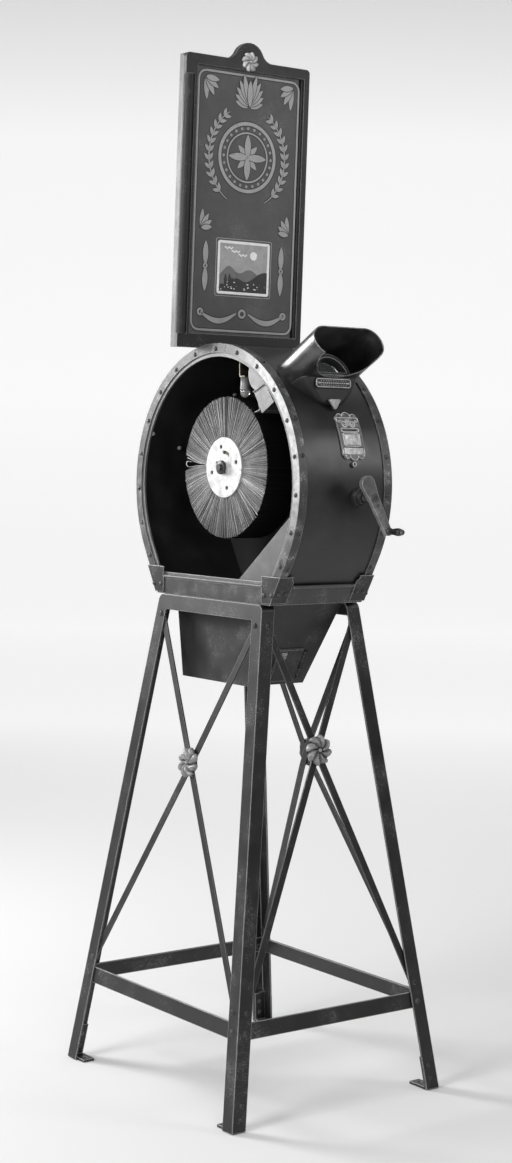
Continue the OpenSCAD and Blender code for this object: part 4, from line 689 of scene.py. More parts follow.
def volute(middle, r0, r1, start, turns, steps=30, flip=1):
    """A spiral line from radius r0 to r1 round a middle, start in degrees."""
    path = []
    for t in np.linspace(0, 1, steps):
        a = math.radians(start + 360 * turns * t)
        r = r0 + (r1 - r0) * t ** 0.8
        path.append((middle[0] + flip * r * math.cos(a), middle[1] + r * math.sin(a)))
    return path


def leaf(at, angle, length, width, steps=7):
    """Path and widths of a pointed leaf that grows from a point at an angle in degrees."""
    a = math.radians(angle)
    shares = np.linspace(0, 1, steps)
    path = [(at[0] + length * t * math.cos(a), at[1] + length * t * math.sin(a)) for t in shares]
    return path, [width * math.sin(math.pi * (0.08 + 0.88 * t)) ** 0.8 for t in shares]


# The badge's middle lies this share of the way up the apron, above a foot, and its face this far out of it
APRON_TILT = math.atan2(APRON_SWELL, APRON_RISE)
BADGE_UP, BADGE_FOOT, BADGE_T = 0.83, 12, 1.65


def on_badge(u, v, h):
    """A point on the badge's face, in millimetres across, up and out of it."""
    proud = h + BADGE_T
    up = BADGE_FOOT + APRON_RISE * BADGE_UP + v * math.cos(APRON_TILT) - proud * math.sin(APRON_TILT)
    out = APRON_LOW + APRON_SWELL * BADGE_UP + v * math.sin(APRON_TILT) + proud * math.cos(APRON_TILT)
    return in_hood(u, up, out)


def pearl(u, v, r, h, place):
    """A round bead on a plate."""
    base = place(u, v, 0)
    return dome(base, (place(u, v, 1) - base).normalized(), r * MM, h * MM, segments=12, rings=3)


# White metal left in the weather: grey in the hollows, bright where it is handled
badge_metal = worn_finish("weathered_badge_metal", "#242424", "#3a3a3a", "#a0a0a0", 0.4, metal=0.5,
                          edge_wear=0.9, spots=0.5, patch_mm=9, grain_mm=0.8, edge_mm=0.8)[0]
relief_bright = worn_finish("rubbed_relief", "#b2b2b2", "#e4e4e4", "#ffffff", 0.36, metal=0.1,
                            edge_wear=0.5, spots=0.6, patch_mm=7, grain_mm=0.9, edge_mm=0.4)[0]
dress(badge_metal, "name_badge")
parts = [ribbon(round_box(75, 14, 4.6), 1.3, 0, 0.5, on_badge, closed=True)]
for k in range(-5, 6):
    parts.append(pearl(k * 5.4, 4.1, 0.8, 0.6, on_badge))
    parts.append(pearl(k * 5.4, -4.1, 0.8, 0.6, on_badge))
for k in range(-6, 7):
    parts.append(pearl(k * 4.7, 0, 1.3 - 0.1 * (k % 2), 0.9, on_badge))
for flip in (-1, 1):
    path, widths = leaf((flip * 29.5, 0), 90 - flip * 90, 5.5, 3)
    parts.append(ribbon(path, widths, 0, 0.5, on_badge))
badge_relief = solid("badge_relief", parts, relief_bright)
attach(badge_relief, "base")

PLATE_R, PLATE_ANGLE, PLATE_X = 252.6, math.radians(21), 21


def on_plate(u, v, h):
    """A point on the coin plate's face, in millimetres across, up round the drum and out."""
    a, r = PLATE_ANGLE + v / DRUM_R, PLATE_R + h
    return Vector((PLATE_X + u, -r * math.cos(a), DRUM_Z + r * math.sin(a))) * MM


# The coin plate is duller than the badge, with oil and dust dark in its hollows
plate_metal = worn_finish("dull_plate_metal", "#505050", "#747474", "#d8d8d8", 0.42, metal=0.1,
                          edge_wear=0.9, spots=0.55, patch_mm=9, grain_mm=1.0, edge_mm=1.0,
                          bump_mm=0.2)[0]
plate_dark = worn_finish("plate_hollows", "#1a1a1a", "#2c2c2c", "#6a6a6a", 0.5, metal=0.3, edge_wear=0.3,
                         spots=0.3, patch_mm=6, grain_mm=0.8, edge_mm=0.4)[0]
dress(plate_metal, "coin_plate")
# The rim, an empty strip, and a framed field with an inner line
parts = [ribbon(round_box(47, 67, 3), 1.6, 0, 0.7, on_plate, closed=True),
         ribbon(round_box(38, 6.6, 3, middle=(0, 10)), 1.5, 0, 0.8, on_plate, closed=True),
         ribbon(round_box(36, 24, 5, middle=(0, -7.5)), 1.8, 0, 0.8, on_plate, closed=True),
         ribbon(round_box(30, 18, 3.5, middle=(0, -7.5)), 0.9, 0, 0.5, on_plate, closed=True)]
# Round lobes at the corners and in the middle of the upper and lower edges
for u, v, r in [(x, y, 6.2) for x in (-15, 15) for y in (-35, 35)] + [(0, -35, 9.2), (0, 35, 9.2)]:
    sign = 1 if v > 0 else -1
    arc = [(u + r * math.cos(t), v + sign * r * math.sin(t)) for t in np.linspace(0.1, math.pi - 0.1, 12)]
    parts.append(ribbon(arc, 1.3, 0, 0.6, on_plate))
# Scrolls and leaves over the strip, and scrolls in the ends of the field
for flip in (-1, 1):
    path = volute((flip * 9, 22), 7.2, 1.2, 200, 1.6, steps=34, flip=flip)
    parts.append(ribbon(path, [2.2 - 1.3 * k / 33 for k in range(34)], 0, 0.8, on_plate))
    path = volute((flip * 17.5, 27), 3.6, 0.8, 20, -1.2, steps=22, flip=flip)
    parts.append(ribbon(path, 1.2, 0, 0.6, on_plate))
    for k in range(4):
        path, widths = leaf((flip * 2, 17.5 + 2.5 * k), 90 - flip * (60 - 12 * k), 6.5, 2.2)
        parts.append(ribbon(path, widths, 0, 0.6, on_plate))
    for turned in (-1, 1):
        path = volute((flip * 8, -7.5), 4.6, 0.8, 90 * turned, 1.1 * turned, steps=22, flip=flip)
        parts.append(ribbon(path, 1.0, 0, 0.5, on_plate))
path, widths = leaf((0, 18), 90, 13, 3.4)
parts.append(ribbon(path, widths, 0, 0.9, on_plate))
parts.append(pearl(0, -7.5, 1.8, 1.2, on_plate))
parts.append(ribbon([(-20.5, -28), (20.5, -28)], 11.0, 0, 0.4, on_plate))
parts.append(ribbon([(-16, -7.5), (16, -7.5)], 19.0, 0, 0.2, on_plate))
# The dotted foot
for row in range(4):
    for k in range(13 - row % 2):
        parts.append(pearl(-20.4 + 3.4 * (k + 0.5 * (row % 2)), -24.3 - 2.5 * row, 1.15, 1.2, on_plate))
plate_relief = solid("plate_relief", parts, relief_bright)
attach(plate_relief, "base")
parts = [ribbon([(-22.4, v), (22.4, v)], 1.3, -0.2, 0.25, on_plate) for v in (-21.4, 15.6, 4.9)]
plate_rules = solid("plate_rules", parts, plate_dark)
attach(plate_rules, "base")

screw_steel = worn_finish("turned_screw_steel", "#6a6a6a", "#8a8a8a", "#d0d0d0", 0.32, metal=0.8,
                          edge_wear=0.6, spots=0.4, patch_mm=6, grain_mm=0.8, edge_mm=0.6)[0]
dress(screw_steel, "front_screws")

# The crank: a forged iron arm on the turned shaft's end, blacked, with a round heel as its weight.
# Hands have worn its arrises grey. The grip is turned blackened wood between two steel collars.
# Forged iron whose black has worn: grey metal on every arris that a hand meets
crank_iron = worn_finish("rubbed_forging", "#5c5c5c", "#767676", "#d2d2d2", 0.36, metal=0.15,
                         edge_wear=0.95, spots=0.4, patch_mm=22, grain_mm=1.2, edge_mm=1.8,
                         bump_mm=0.15)[0]
# Turned steel under a film of oil, darker than when it is dry, with bright edges
shaft_steel = worn_finish("oiled_shaft_steel", "#484848", "#666666", "#d0d0d0", 0.3, metal=0.5,
                          edge_wear=0.8, spots=0.3, patch_mm=12, grain_mm=1.0, edge_mm=0.8)[0]
# Iron blacked hot in oil: near black and dull
bush_iron = worn_finish("blacked_bush", "#1c1c1c", "#2a2a2a", "#7a7a7a", 0.4, edge_wear=0.6, spots=0.3,
                        patch_mm=14, edge_mm=1.0)[0]
dress(crank_iron, "crank_arm")
dress(shaft_steel, "crank_shaft", "handle_spindle")
dress(bush_iron, "reel_shaft", "crank_bush")

# In millimetres: the crank's axis, the arm's plane, half its thickness, its throw, and the grip's inner end
CRANK_X, CRANK_Z, ARM_Y, ARM_HALF, THROW, GRIP_Y = 29, 1050, -289, 4, 65.4, -294.5
ARM_ANGLE = math.radians(-60.7)
arm_run = Vector((math.cos(ARM_ANGLE), 0, math.sin(ARM_ANGLE)))
out_front = Vector((0, -1, 0))


def lathe(profile, centre, axis, segments=40):
    """A turned piece: (radius, run) pairs in millimetres from centre along axis."""
    side = axis.orthogonal().normalized()
    other = axis.cross(side)
    return loft([circle(centre + axis * (run * MM), side, other, r * MM, segments) for r, run in profile])


arm_face = Vector((CRANK_X, ARM_Y - ARM_HALF, CRANK_Z)) * MM
handle = Vector((CRANK_X, 0, CRANK_Z)) * MM + arm_run * (THROW * MM)
collar_turning = [(8.6, -0.2), (8.6, 0.7), (7.9, 1.2), (6.3, 1.2), (6.1, 0.6), (6.1, -0.2)]
screw_turning = [(3.4, -0.2), (3.4, 0.5), (2.7, 1.3), (1.2, 1.3), (1.0, 0.5), (0.3, 0.5)]
crank_collars = solid("crank_collar_and_screw", [
    lathe(collar_turning, arm_face, out_front),
    lathe(screw_turning, arm_face + arm_run * (15 * MM), out_front, 24)], shaft_steel)
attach(crank_collars, "crank")

# Beech stained black and waxed by hands: smooth, with a soft sheen
grip_black = worn_finish("ebonised_beech", "#1c1c1c", "#2a2a2a", "#5c5c5c", 0.28, edge_wear=0.5,
                         spots=0.25, patch_mm=10, grain_mm=1.1, edge_mm=0.8, gloss=0.6)[0]
grip_start = Vector((handle.x, GRIP_Y * MM, handle.z))
turning = [(3.2, 0.0), (5.6, 0.0), (6.4, 0.5), (6.9, 1.6), (6.6, 2.9), (5.5, 3.9), (5.1, 4.6), (5.5, 5.2),
           (5.2, 5.9), (5.15, 8), (5.5, 12), (6.2, 17), (6.8, 21), (6.95, 24), (6.7, 27), (6.0, 29.6),
           (5.0, 31.2), (5.4, 31.9), (5.3, 32.8), (4.4, 33.4), (3.2, 33.4)]
turned_grip = solid("turned_grip", [lathe(turning, grip_start, out_front)], grip_black)
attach(turned_grip, "grip")
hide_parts("handle_grip")

# Small ironwork of the cash box: a butt hinge of steel folded round its pin, a shield for the lock and
# the lock's plug. The steel is painted black, the lock is nickel, dulled by keys and weather.
hinge_steel = worn_finish("hinge_steel_paint", "#1e1e1e", "#2c2c2c", "#8a8a8a", 0.38, metal=0.3,
                          edge_wear=0.8, spots=0.4, patch_mm=10, grain_mm=1.0, edge_mm=0.8)[0]
lock_metal = worn_finish("worn_nickel_lock", "#8a8a8a", "#b4b4b4", "#e0e0e0", 0.3, metal=0.8, edge_wear=0.5,
                         spots=0.5, patch_mm=6, grain_mm=0.8, edge_mm=0.8)[0]
dress(hinge_steel, "door_hinge")
dress(lock_metal, "lock_plate", "lock_plug")

# Inside the drum: a cast frame with bearings, a worm and its brass wheel, a tin coin way with a steel
# lever, the reel's cast hub plate, and a tin mask behind the eyepiece, dulled by oil and card dust.

# Grey iron as cast, under oil: dark and a little rough
frame_casting = worn_finish("oily_grey_casting", "#2c2c2c", "#3c3c3c", "#6a6a6a", 0.5, metal=0.3,
                            edge_wear=0.5, spots=0.3, patch_mm=30, grain_mm=1.8, bump_mm=0.3)[0]
# Cut brass gone brown in its oil, yellow on the teeth's edges
wheel_brass = worn_finish("oily_brass", "#5c4c24", "#86703a", "#c4a860", 0.35, metal=0.9, edge_wear=0.6,
                          spots=0.3, patch_mm=12, grain_mm=1.0, edge_mm=0.6)[0]
# Tinned sheet: bright and smooth in the coin way, grey with dust on the mask and the lamp's skirt
tin = worn_finish("bright_tinplate", "#a8a8a8", "#c6c6c6", "#efefef", 0.3, metal=0.65, edge_wear=0.6,
                  spots=0.25, patch_mm=26, grain_mm=2.0, edge_mm=0.8, bump_mm=0.08)[0]
mask_tin = worn_finish("dusty_mask_tin", "#626262", "#7e7e7e", "#b4b4b4", 0.42, metal=0.3, edge_wear=0.9,
                       spots=0.2, patch_mm=22, grain_mm=1.6, edge_mm=1.0, bump_mm=0.08)[0]
lever_steel = worn_finish("dull_lever_steel", "#4a4a4a", "#626262", "#b0b0b0", 0.4, metal=0.7,
                          edge_wear=0.6, spots=0.3, patch_mm=14, grain_mm=1.2, edge_mm=0.8)[0]
# Cast white metal of the hub: pale and chalky, pitted darker
white_metal = worn_finish("cast_white_metal", "#a8a8a8", "#d8d8d8", "#707070", 0.48, metal=0.12,
                          edge_wear=0.1, spots=0.8, patch_mm=15, grain_mm=1.3, edge_mm=0.8, bump_mm=0.25)[0]
dress(frame_casting, "mechanism_frame", "lever_bracket")
dress(wheel_brass, "worm_wheel")
dress(shaft_steel, "worm")
dress(tin, "coin_chute")
dress(mask_tin, "view_mask")
dress(lever_steel, "coin_lever")
dress(white_metal, "hub_plate")

# The reel is held on its shaft by a turned collar of black iron, pushed up to the white hub plate and
# held by a cross pin through both, which is blacked as well.
REEL_Z, HUB_FACE, PIN_DEPTH, PIN_ANGLE = 1097, -83.2, 3, math.radians(35)
collar = lathe([(4, 0), (12.2, 0), (12.6, 0.6), (12.6, 4.6), (11.8, 5.4), (4, 5.4)],
               Vector((HUB_FACE, 0, REEL_Z)) * MM, Vector((-1, 0, 0)))
pin_way = Vector((0, math.cos(PIN_ANGLE), math.sin(PIN_ANGLE)))
cross_pin = lathe([(0.3, -16.5), (1.9, -16.2), (1.9, 16.2), (0.3, 16.5)],
                  Vector((HUB_FACE - PIN_DEPTH, 0, REEL_Z)) * MM, pin_way, segments=16)
shaft_collar = solid("shaft_collar", [collar, cross_pin], bush_iron)
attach(shaft_collar, "reel")

# The reel's core is turned from beech with the grain along it, and stained dark. Its figure is 50 mm long
# and 7 mm wide. The pores are drawn 6 by 0.8 mm, coarser than the real ones, which are too fine to show.
core_wood, tree = empty_finish("stained_beech")
place = add(tree, "ShaderNodeTexCoord").outputs["Object"]
board = add(tree, "ShaderNodeMapping", {"Vector": place, "Scale": (12.0, 90.0, 90.0)})
rings = add(tree, "ShaderNodeTexNoise", {"Vector": board.outputs["Vector"], "Scale": 1.6, "Detail": 5.0,
                                         "Distortion": 0.6})
pores = add(tree, "ShaderNodeTexVoronoi", {"Vector": board.outputs["Vector"], "Scale": 14.0})
pore_mark = add(tree, "ShaderNodeMapRange", {"Value": pores.outputs["Distance"], "From Min": 0.05,
                                             "From Max": 0.2, "To Min": 0.55, "To Max": 1.0})
grain_tone = add(tree, "ShaderNodeMix", {0: rings.outputs["Fac"], 6: linear("#2e2822"),
                                         7: linear("#4e4234")},
                 data_type="RGBA")
wood_tone = add(tree, "ShaderNodeMix", {0: 1.0, 6: grain_tone.outputs[2], 7: pore_mark.outputs["Result"]},
                data_type="RGBA", blend_type="MULTIPLY")
relief = add(tree, "ShaderNodeBump", {"Height": pores.outputs["Distance"], "Distance": 0.2 * MM,
                                      "Strength": 0.4})
skin = add(tree, "ShaderNodeBsdfPrincipled", {"Base Color": wood_tone.outputs[2], "Roughness": 0.5,
                                              "Normal": relief.outputs["Normal"]})
add(tree, "ShaderNodeOutputMaterial", {"Surface": skin.outputs[0]})
dress(core_wood, "reel_core")

# The reel: some eight hundred printed cards set edge on in the core. They lean away from the parting
# where the lip holds the first card, and their loose tips fan, fray and catch the light one by one.
# In millimetres: the cards' radius at the core and the tip, their two edges across, and their thickness,
# with which they fill the core's rim from card to card
CARD_ROOT, CARD_TIP, CARD_X0, CARD_X1 = 48, 126.6, -77, -7
CARDS, CARD_T, CARD_STATIONS = 850, 0.36, 6
# The parting's angle in degrees, and that of the gap behind, where a few tips stand longer
PARTING, GAP = 3.0, -139.0
rng = np.random.default_rng(7)


def tip_lean(angle):
    """How far a card's tip leans, in degrees, for its angle at the core."""
    lean = 0.0
    for parting, most, spread in ((PARTING, 7.0, 18.0), (GAP, 1.1, 14.0), (74.0, 0.5, 5.0),
                                  (-62.0, 0.45, 6.0)):
        away = (angle - parting + 180) % 360 - 180
        lean += math.copysign(most * math.exp(-abs(away) / spread), away)
    return lean


def card(angle, reach, lean, x0, x1):
    """One thin card from the core to its tip, bent by its lean."""
    rings = []
    for i in range(CARD_STATIONS):
        t = i / (CARD_STATIONS - 1)
        a = math.radians(angle + lean * t ** 1.5)
        radial, flank = Vector((0, math.cos(a), math.sin(a))), Vector((0, -math.sin(a), math.cos(a)))
        middle = Vector((0, 0, REEL_Z)) + radial * (CARD_ROOT + (reach - CARD_ROOT) * t)
        rings.append([(middle + flank * (off * CARD_T / 2) + Vector((x, 0, 0))) * MM
                      for x, off in ((x0, -1), (x1, -1), (x1, 1), (x0, 1))])
    return loft(rings)


# Matt coated card: every cut edge has its own grey under a sooty mottle; the card faces and tips, turned
# away from the window, are painted near black as the shade inside the drum
card_stock, tree = empty_finish("sooty_card_edges_shaded_faces")
place = add(tree, "ShaderNodeTexCoord").outputs["Object"]
own = add(tree, "ShaderNodeNewGeometry")
tone = add(tree, "ShaderNodeValToRGB", {"Fac": own.outputs["Random Per Island"]})
ramp = tone.color_ramp
for position, code in ((0.0, "#6c6c6c"), (0.3, "#8a8a8a"), (0.7, "#a4a4a4"), (0.9, "#bcbcbc"),
                       (1.0, "#fafafa")):
    stop = ramp.elements[0] if position == 0 else ramp.elements.new(position)
    stop.position, stop.color = position, linear(code)
ramp.elements.remove(ramp.elements[-1])
soot = add(tree, "ShaderNodeTexNoise", {"Vector": place, "Scale": 1 / (24 * MM), "Detail": 6.0,
                                        "Roughness": 0.7})
dim = add(tree, "ShaderNodeMapRange", {"Value": soot.outputs["Fac"], "From Min": 0.35, "From Max": 0.65,
                                       "To Min": 0.72, "To Max": 1.1})
stained = add(tree, "ShaderNodeMix", {0: 1.0, 6: tone.outputs["Color"], 7: dim.outputs["Result"]},
              data_type="RGBA", blend_type="MULTIPLY")
# Everything but the cut edges towards the window, the card faces and tips, gets painted shade
facing_out = add(tree, "ShaderNodeSeparateXYZ", {0: own.outputs["Normal"]})
edge_on = add(tree, "ShaderNodeMath", {0: facing_out.outputs["X"]}, operation="ABSOLUTE")
painted_shade_on_faces = add(tree, "ShaderNodeMix", {0: edge_on.outputs["Value"], 6: linear("#1c1c1c"),
                                    7: stained.outputs[2]}, data_type="RGBA")
fibre = add(tree, "ShaderNodeTexNoise", {"Vector": place, "Scale": 1 / (0.9 * MM), "Detail": 2.0})
fuzz = add(tree, "ShaderNodeBump", {"Height": fibre.outputs["Fac"], "Distance": 0.12 * MM, "Strength": 0.5})
skin = add(tree, "ShaderNodeBsdfPrincipled", {"Base Color": painted_shade_on_faces.outputs[2], "Roughness": 0.75,
                                              "Specular IOR Level": 0.2, "Normal": fuzz.outputs["Normal"]})
add(tree, "ShaderNodeOutputMaterial", {"Surface": skin.outputs[0]})

pack = []
for k in range(CARDS):
    angle = PARTING + 360 * (k + 0.5) / CARDS
    near = abs((angle - GAP + 180) % 360 - 180)
    reach = CARD_TIP + float(rng.normal(-0.5, 0.7))
    stray = rng.random()
    if stray < 0.05:
        reach += 1.4
    if near < 1.2:
        reach += 1.8
    reach = min(reach, 129.0)
    lean = tip_lean(angle) + float(rng.normal(0, 0.16))
    side = float(rng.normal(0, 0.28))
    # Every seventh card stands out to the left of the rest
    pack.append(card(angle, reach, lean, CARD_X0 + max(-0.9, side) + (0.5 if k % 7 else -0.3),
                     CARD_X1 - 0.4 + min(0.3, side)))
reel_cards = solid("reel_cards", pack, card_stock, smooth=False)
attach(reel_cards, "reel")
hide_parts("card_pack")

# A few fresh cards of the same stock stand loose in the parting, cleaner than the pack. One has sprung
# out into a loop; they are held only by their roots in the core.
bent_stock = worn_finish("fresh_bent_card", "#cdcdcd", "#e2e2e2", "#f4f4f4", 0.6, edge_wear=0.2, spots=0.2,
                         patch_mm=12, grain_mm=1.0, edge_mm=0.3, bump_mm=0.05)[0]


def sprung_card(path, x0, x1, thick):
    """A springy card along (run across the parting, radius) points in the reel's face."""
    rings, a = [], math.radians(PARTING)
    for i, (off, r) in enumerate(path):
        before, after = path[max(0, i - 1)], path[min(len(path) - 1, i + 1)]
        run = Vector((after[0] - before[0], after[1] - before[1])).normalized()
        ring = []
        for x, s in ((x0, -1), (x1, -1), (x1, 1), (x0, 1)):
            o, q = off - run.y * s * thick / 2, r + run.x * s * thick / 2
            ring.append(Vector((x, q * math.cos(a) - o * math.sin(a),
                                REEL_Z + q * math.sin(a) + o * math.cos(a))) * MM)
        rings.append(ring)
    return loft(rings)


loop = [(-1.2, 60), (-1.6, 76), (-3.2, 90), (-5.6, 102), (-7.0, 112), (-6.6, 119), (-3.6, 123.4),
        (0.2, 123.6), (3.0, 120), (3.6, 114), (2.2, 108)]
straight = [(0.8, 60), (1.4, 78), (3.6, 96), (7.2, 112), (9.4, 122)]
loose_cards = solid("loose_cards", [sprung_card(loop, -76.9, -75.3, 0.4),
                                    sprung_card(straight, -76.9, -74.5, 0.35)], bent_stock)
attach(loose_cards, "reel")

# The lamp: a small pear bulb of blown glass in a spun brass socket with a tin skirt, on a strap under the
# crown. The glass is clear, smoked a little by its years, with the index of soda glass, 1.5.
LAMP = Vector((-70, -48, 1221.5)) * MM
UPWARD = Vector((0, 0, 1))
bulb_glass, tree = empty_finish("smoked_clear_bulb")
place = add(tree, "ShaderNodeTexCoord").outputs["Object"]
frost = add(tree, "ShaderNodeTexNoise", {"Vector": place, "Scale": 1 / (3 * MM), "Detail": 4.0})
milk = add(tree, "ShaderNodeMix", {0: frost.outputs["Fac"], 6: linear("#c8c8c6"), 7: linear("#ececea")},
           data_type="RGBA")
skin = add(tree, "ShaderNodeBsdfPrincipled", {"Base Color": milk.outputs[2], "Roughness": 0.12, "IOR": 1.5,
                                              "Transmission Weight": 0.8})
add(tree, "ShaderNodeOutputMaterial", {"Surface": skin.outputs[0]})
pear = [(0.4, 0.0), (3.0, 0.5), (5.6, 2.0), (7.6, 4.8), (8.7, 8.2), (8.6, 11.6), (7.4, 15.2), (6.0, 18.2),
        (5.1, 21.0), (4.9, 26.5), (0.4, 26.5)]
bulb = solid("pear_bulb", [lathe(pear, LAMP, UPWARD)], bulb_glass)
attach(bulb, "base")
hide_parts("lamp_bulb")
socket_brass = worn_finish("tarnished_socket_brass", "#46423a", "#645e52", "#b4ae9e", 0.35, metal=0.8,
                           edge_wear=0.6, spots=0.4, patch_mm=8, grain_mm=1.0, edge_mm=0.6)[0]
dress(socket_brass, "lamp_socket")
skirt_profile = [(5.3, 17.2), (8.9, 14.6), (9.3, 14.9), (9.2, 16.2), (8.8, 20.0), (8.9, 21.2), (8.7, 22.0),
                 (8.6, 37.0), (5.3, 37.0)]
lamp_skirt = solid("lamp_skirt", [lathe(skirt_profile, LAMP, UPWARD)], mask_tin)
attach(lamp_skirt, "base")

# Rivet tails on the inside of the rolled sheet, where straps and brackets are held from outside. They are
# soft iron, hammered over in place, and are given the hub's pale white metal, so they show as bright dots in
# the black inside.
WALL_R, TAIL_R, TAIL_H = 247.9, 4.2, 3.2
studs = []
for x, turned in ((-80, 21.2), (-14, 15.0), (73, 42.6), (-80, 62.0), (20, 80.0), (60, -12.0)):
    a = math.radians(turned)
    wall = Vector((0, math.cos(a), math.sin(a)))
    seat = Vector((x, 0, DRUM_Z)) + wall * WALL_R
    studs.append(dome(seat * MM, -wall, TAIL_R * MM, TAIL_H * MM, 18, 5))
rivet_tails = solid("rivet_tails", studs, white_metal)
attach(rivet_tails, "base")

# The sign: a flat case with an ogee crest, black frame round a printed tin panel that slides in from the
# left. The print here is a border, a star medallion in a wreath, leaf sprays and a small landscape.
# In millimetres: the edges of the printed panel, the place of the sign's foot, and how far behind it the
# panel's face lies
SIGN_LOW, SIGN_HIGH, SIGN_LEFT, SIGN_RIGHT = 26, 511, -114, 128
SIGN_FOOT_Y, SIGN_FOOT_Z, PANEL_FACE = 68, 1313.15, 6.9


def on_sign(u, v, h):
    """A point in front of the printed panel: across, up from the sign's foot, out of the panel."""
    y = PANEL_FACE - h
    return Vector((u, SIGN_FOOT_Y + y * math.cos(SIGN_LEAN) - v * math.sin(SIGN_LEAN),
                   SIGN_FOOT_Z + y * math.sin(SIGN_LEAN) + v * math.cos(SIGN_LEAN))) * MM


# Black japan: a dull baked varnish, whole on the flat case; the frame's arrises are pale grey, partly worn
# and partly a painted highlight along the edges
sign_black = worn_finish("sign_black_japan", "#0f0f0f", "#171717", "#a0a0a0", 0.5, edge_wear=0.9,
                         spots=0.25, patch_mm=60, grain_mm=1.6, bump_mm=0.15, edge_mm=2.0)[0]
case_black = worn_finish("sign_case_black", "#161616", "#202020", "#4a4a4a", 0.45, edge_wear=0.5, spots=0.3,
                         patch_mm=70)[0]
# Printed tin: a flat ground under matt inks that have faded and flaked in fine spots
panel_print = worn_finish("printed_panel_ground", "#545454", "#606060", "#8c8c8c", 0.5, edge_wear=0.2,
                          spots=0.3, patch_mm=90, grain_mm=2.6, edge_mm=0.4, bump_mm=0.04, gloss=0.2)[0]
inks = {}
for ink, full, faded, bare, rough, spots, patch_mm, grain_mm in (
        ("pale", "#989898", "#a8a8a8", "#808080", 0.45, 0.8, 30, 2.2),
        ("dark", "#262626", "#303030", "#5e5e5e", 0.5, 0.6, 30, 2.2),
        ("white", "#eeeeee", "#ffffff", "#9a9a9a", 0.5, 0.6, 20, 2.0),
        ("mid", "#626262", "#787878", "#505050", 0.5, 0.6, 20, 2.2),
        ("light", "#9c9c9c", "#b2b2b2", "#808080", 0.5, 0.6, 20, 2.2)):
    inks[ink] = worn_finish("printed_" + ink + "_ink", full, faded, bare, rough, edge_wear=0.0, spots=spots,
                            patch_mm=patch_mm, grain_mm=grain_mm, edge_mm=0.2, bump_mm=0.03)[0]
dress(sign_black, "sign_frame", "sign_strip")
dress(case_black, "sign_case", "sign_brackets")
dress(panel_print, "sign_panel")
pale, dark = [], []


def draw(path, widths, closed=False, outline=1.8, lift=0.0):
    """A pale printed line with a dark edge round it, lifted over the lines it overlaps."""
    pale.append(ribbon(path, widths, lift + 0.16, lift + 0.42, on_sign, closed))
    wide = [w + 2 * outline for w in widths] if isinstance(widths, list) else widths + 2 * outline
    dark.append(ribbon(path, wide, lift, lift + 0.14, on_sign, closed))


mid = (SIGN_LEFT + SIGN_RIGHT) / 2
sign_mid = (SIGN_LOW + SIGN_HIGH) / 2
BORDER_IN = 15
draw(round_box(SIGN_RIGHT - SIGN_LEFT - BORDER_IN, SIGN_HIGH - SIGN_LOW - BORDER_IN, 16,
               middle=(mid, sign_mid)), 4.0, closed=True)
# The medallion: two rings with beads between them round an eight-pointed star
MEDAL_V, MEDAL_R, MEDAL_IN = 354, 62, 17
draw(volute((mid, MEDAL_V), MEDAL_R, MEDAL_R, 0, 0.985, 64), 6.5, closed=True)
draw(volute((mid, MEDAL_V), MEDAL_R - MEDAL_IN, MEDAL_R - MEDAL_IN, 0, 0.982, 56), 3.2, closed=True)
for k in range(24):
    a, r = 2 * math.pi * k / 24, MEDAL_R - MEDAL_IN / 2
    bead = round_box(3.6, 3.6, 1.78, middle=(mid + r * math.cos(a), MEDAL_V + r * math.sin(a)), steps=3)
    draw(bead, 2.2, closed=True, outline=0.6)
for k in range(8):
    reach, wide = (41, 14) if k % 2 == 0 else (29, 11)
    draw(*leaf((mid, MEDAL_V), 90 + 45 * k, reach, wide), outline=1.2, lift=0.5 * (1 - k % 2))
for flip in (-1, 1):
    # The wreath's branch, with a pair of leaves at every second place
    branch = [(mid + flip * 86 * math.cos(t), MEDAL_V + 92 * math.sin(t))
              for t in np.linspace(-1.05, 1.05, 26)]
    draw(branch, [3.4 - 1.8 * abs(k / 12.5 - 1) for k in range(26)])
    for at in branch[3:24:2]:
        along = 90 + math.degrees(math.atan2(at[1] - MEDAL_V, flip * (at[0] - mid)))
        for lean_in in (-38, 38):
            turned = along + lean_in if flip > 0 else 180 - (along + lean_in)
            draw(*leaf(at, turned, 15, 7))
    # Fans of leaves: the root, how it climbs, the middle direction, the first leaf's turn from it and the
    # turn to the next, the first leaf's length and its change, the width and the number of leaves
    for u, v, climb, heading, first, step, length, change, wide, count in (
            (98, 492, 0, -90, -4, -26, 40, -4, 11, 4),
            (98, 218, 0, 90, 4, 26, 34, -4, 10, 4),
            (4, 446, 3, 90, -72, 15, 27, 5, 10, 5)):
        for k in range(count):
            draw(*leaf((mid + flip * u, v + climb * k), heading + flip * (first + step * k),
                       length + change * k, wide), outline=1.2, lift=0.5 * k)
    # A spindle of two leaves beside the little print, and the swag under it with its button
    for turned in (-90, 90):
        draw(*leaf((mid + flip * 86, 150 + turned / 30), turned, 42, 12))
    draw(round_box(7, 7, 3.4, middle=(mid + flip * 86, 150)), 3.4, closed=True)
    swag = [(mid + flip * (14 + 80 * t), 66 - 15 * math.sin(math.pi * t)) for t in np.linspace(0, 1, 22)]
    draw(swag, [3 + 7 * math.sin(math.pi * k / 21) for k in range(22)])
    draw(round_box(10, 10, 4.9, middle=swag[-1]), 4.4, closed=True)
draw(*leaf((mid, 448), 90, 46, 12), outline=1.2, lift=2.5)
draw(round_box(13, 13, 6.4, middle=(mid, 66)), 4.4, closed=True)

PRINT_MID, PRINT_W, PRINT_H = (mid, 150), 118, 98


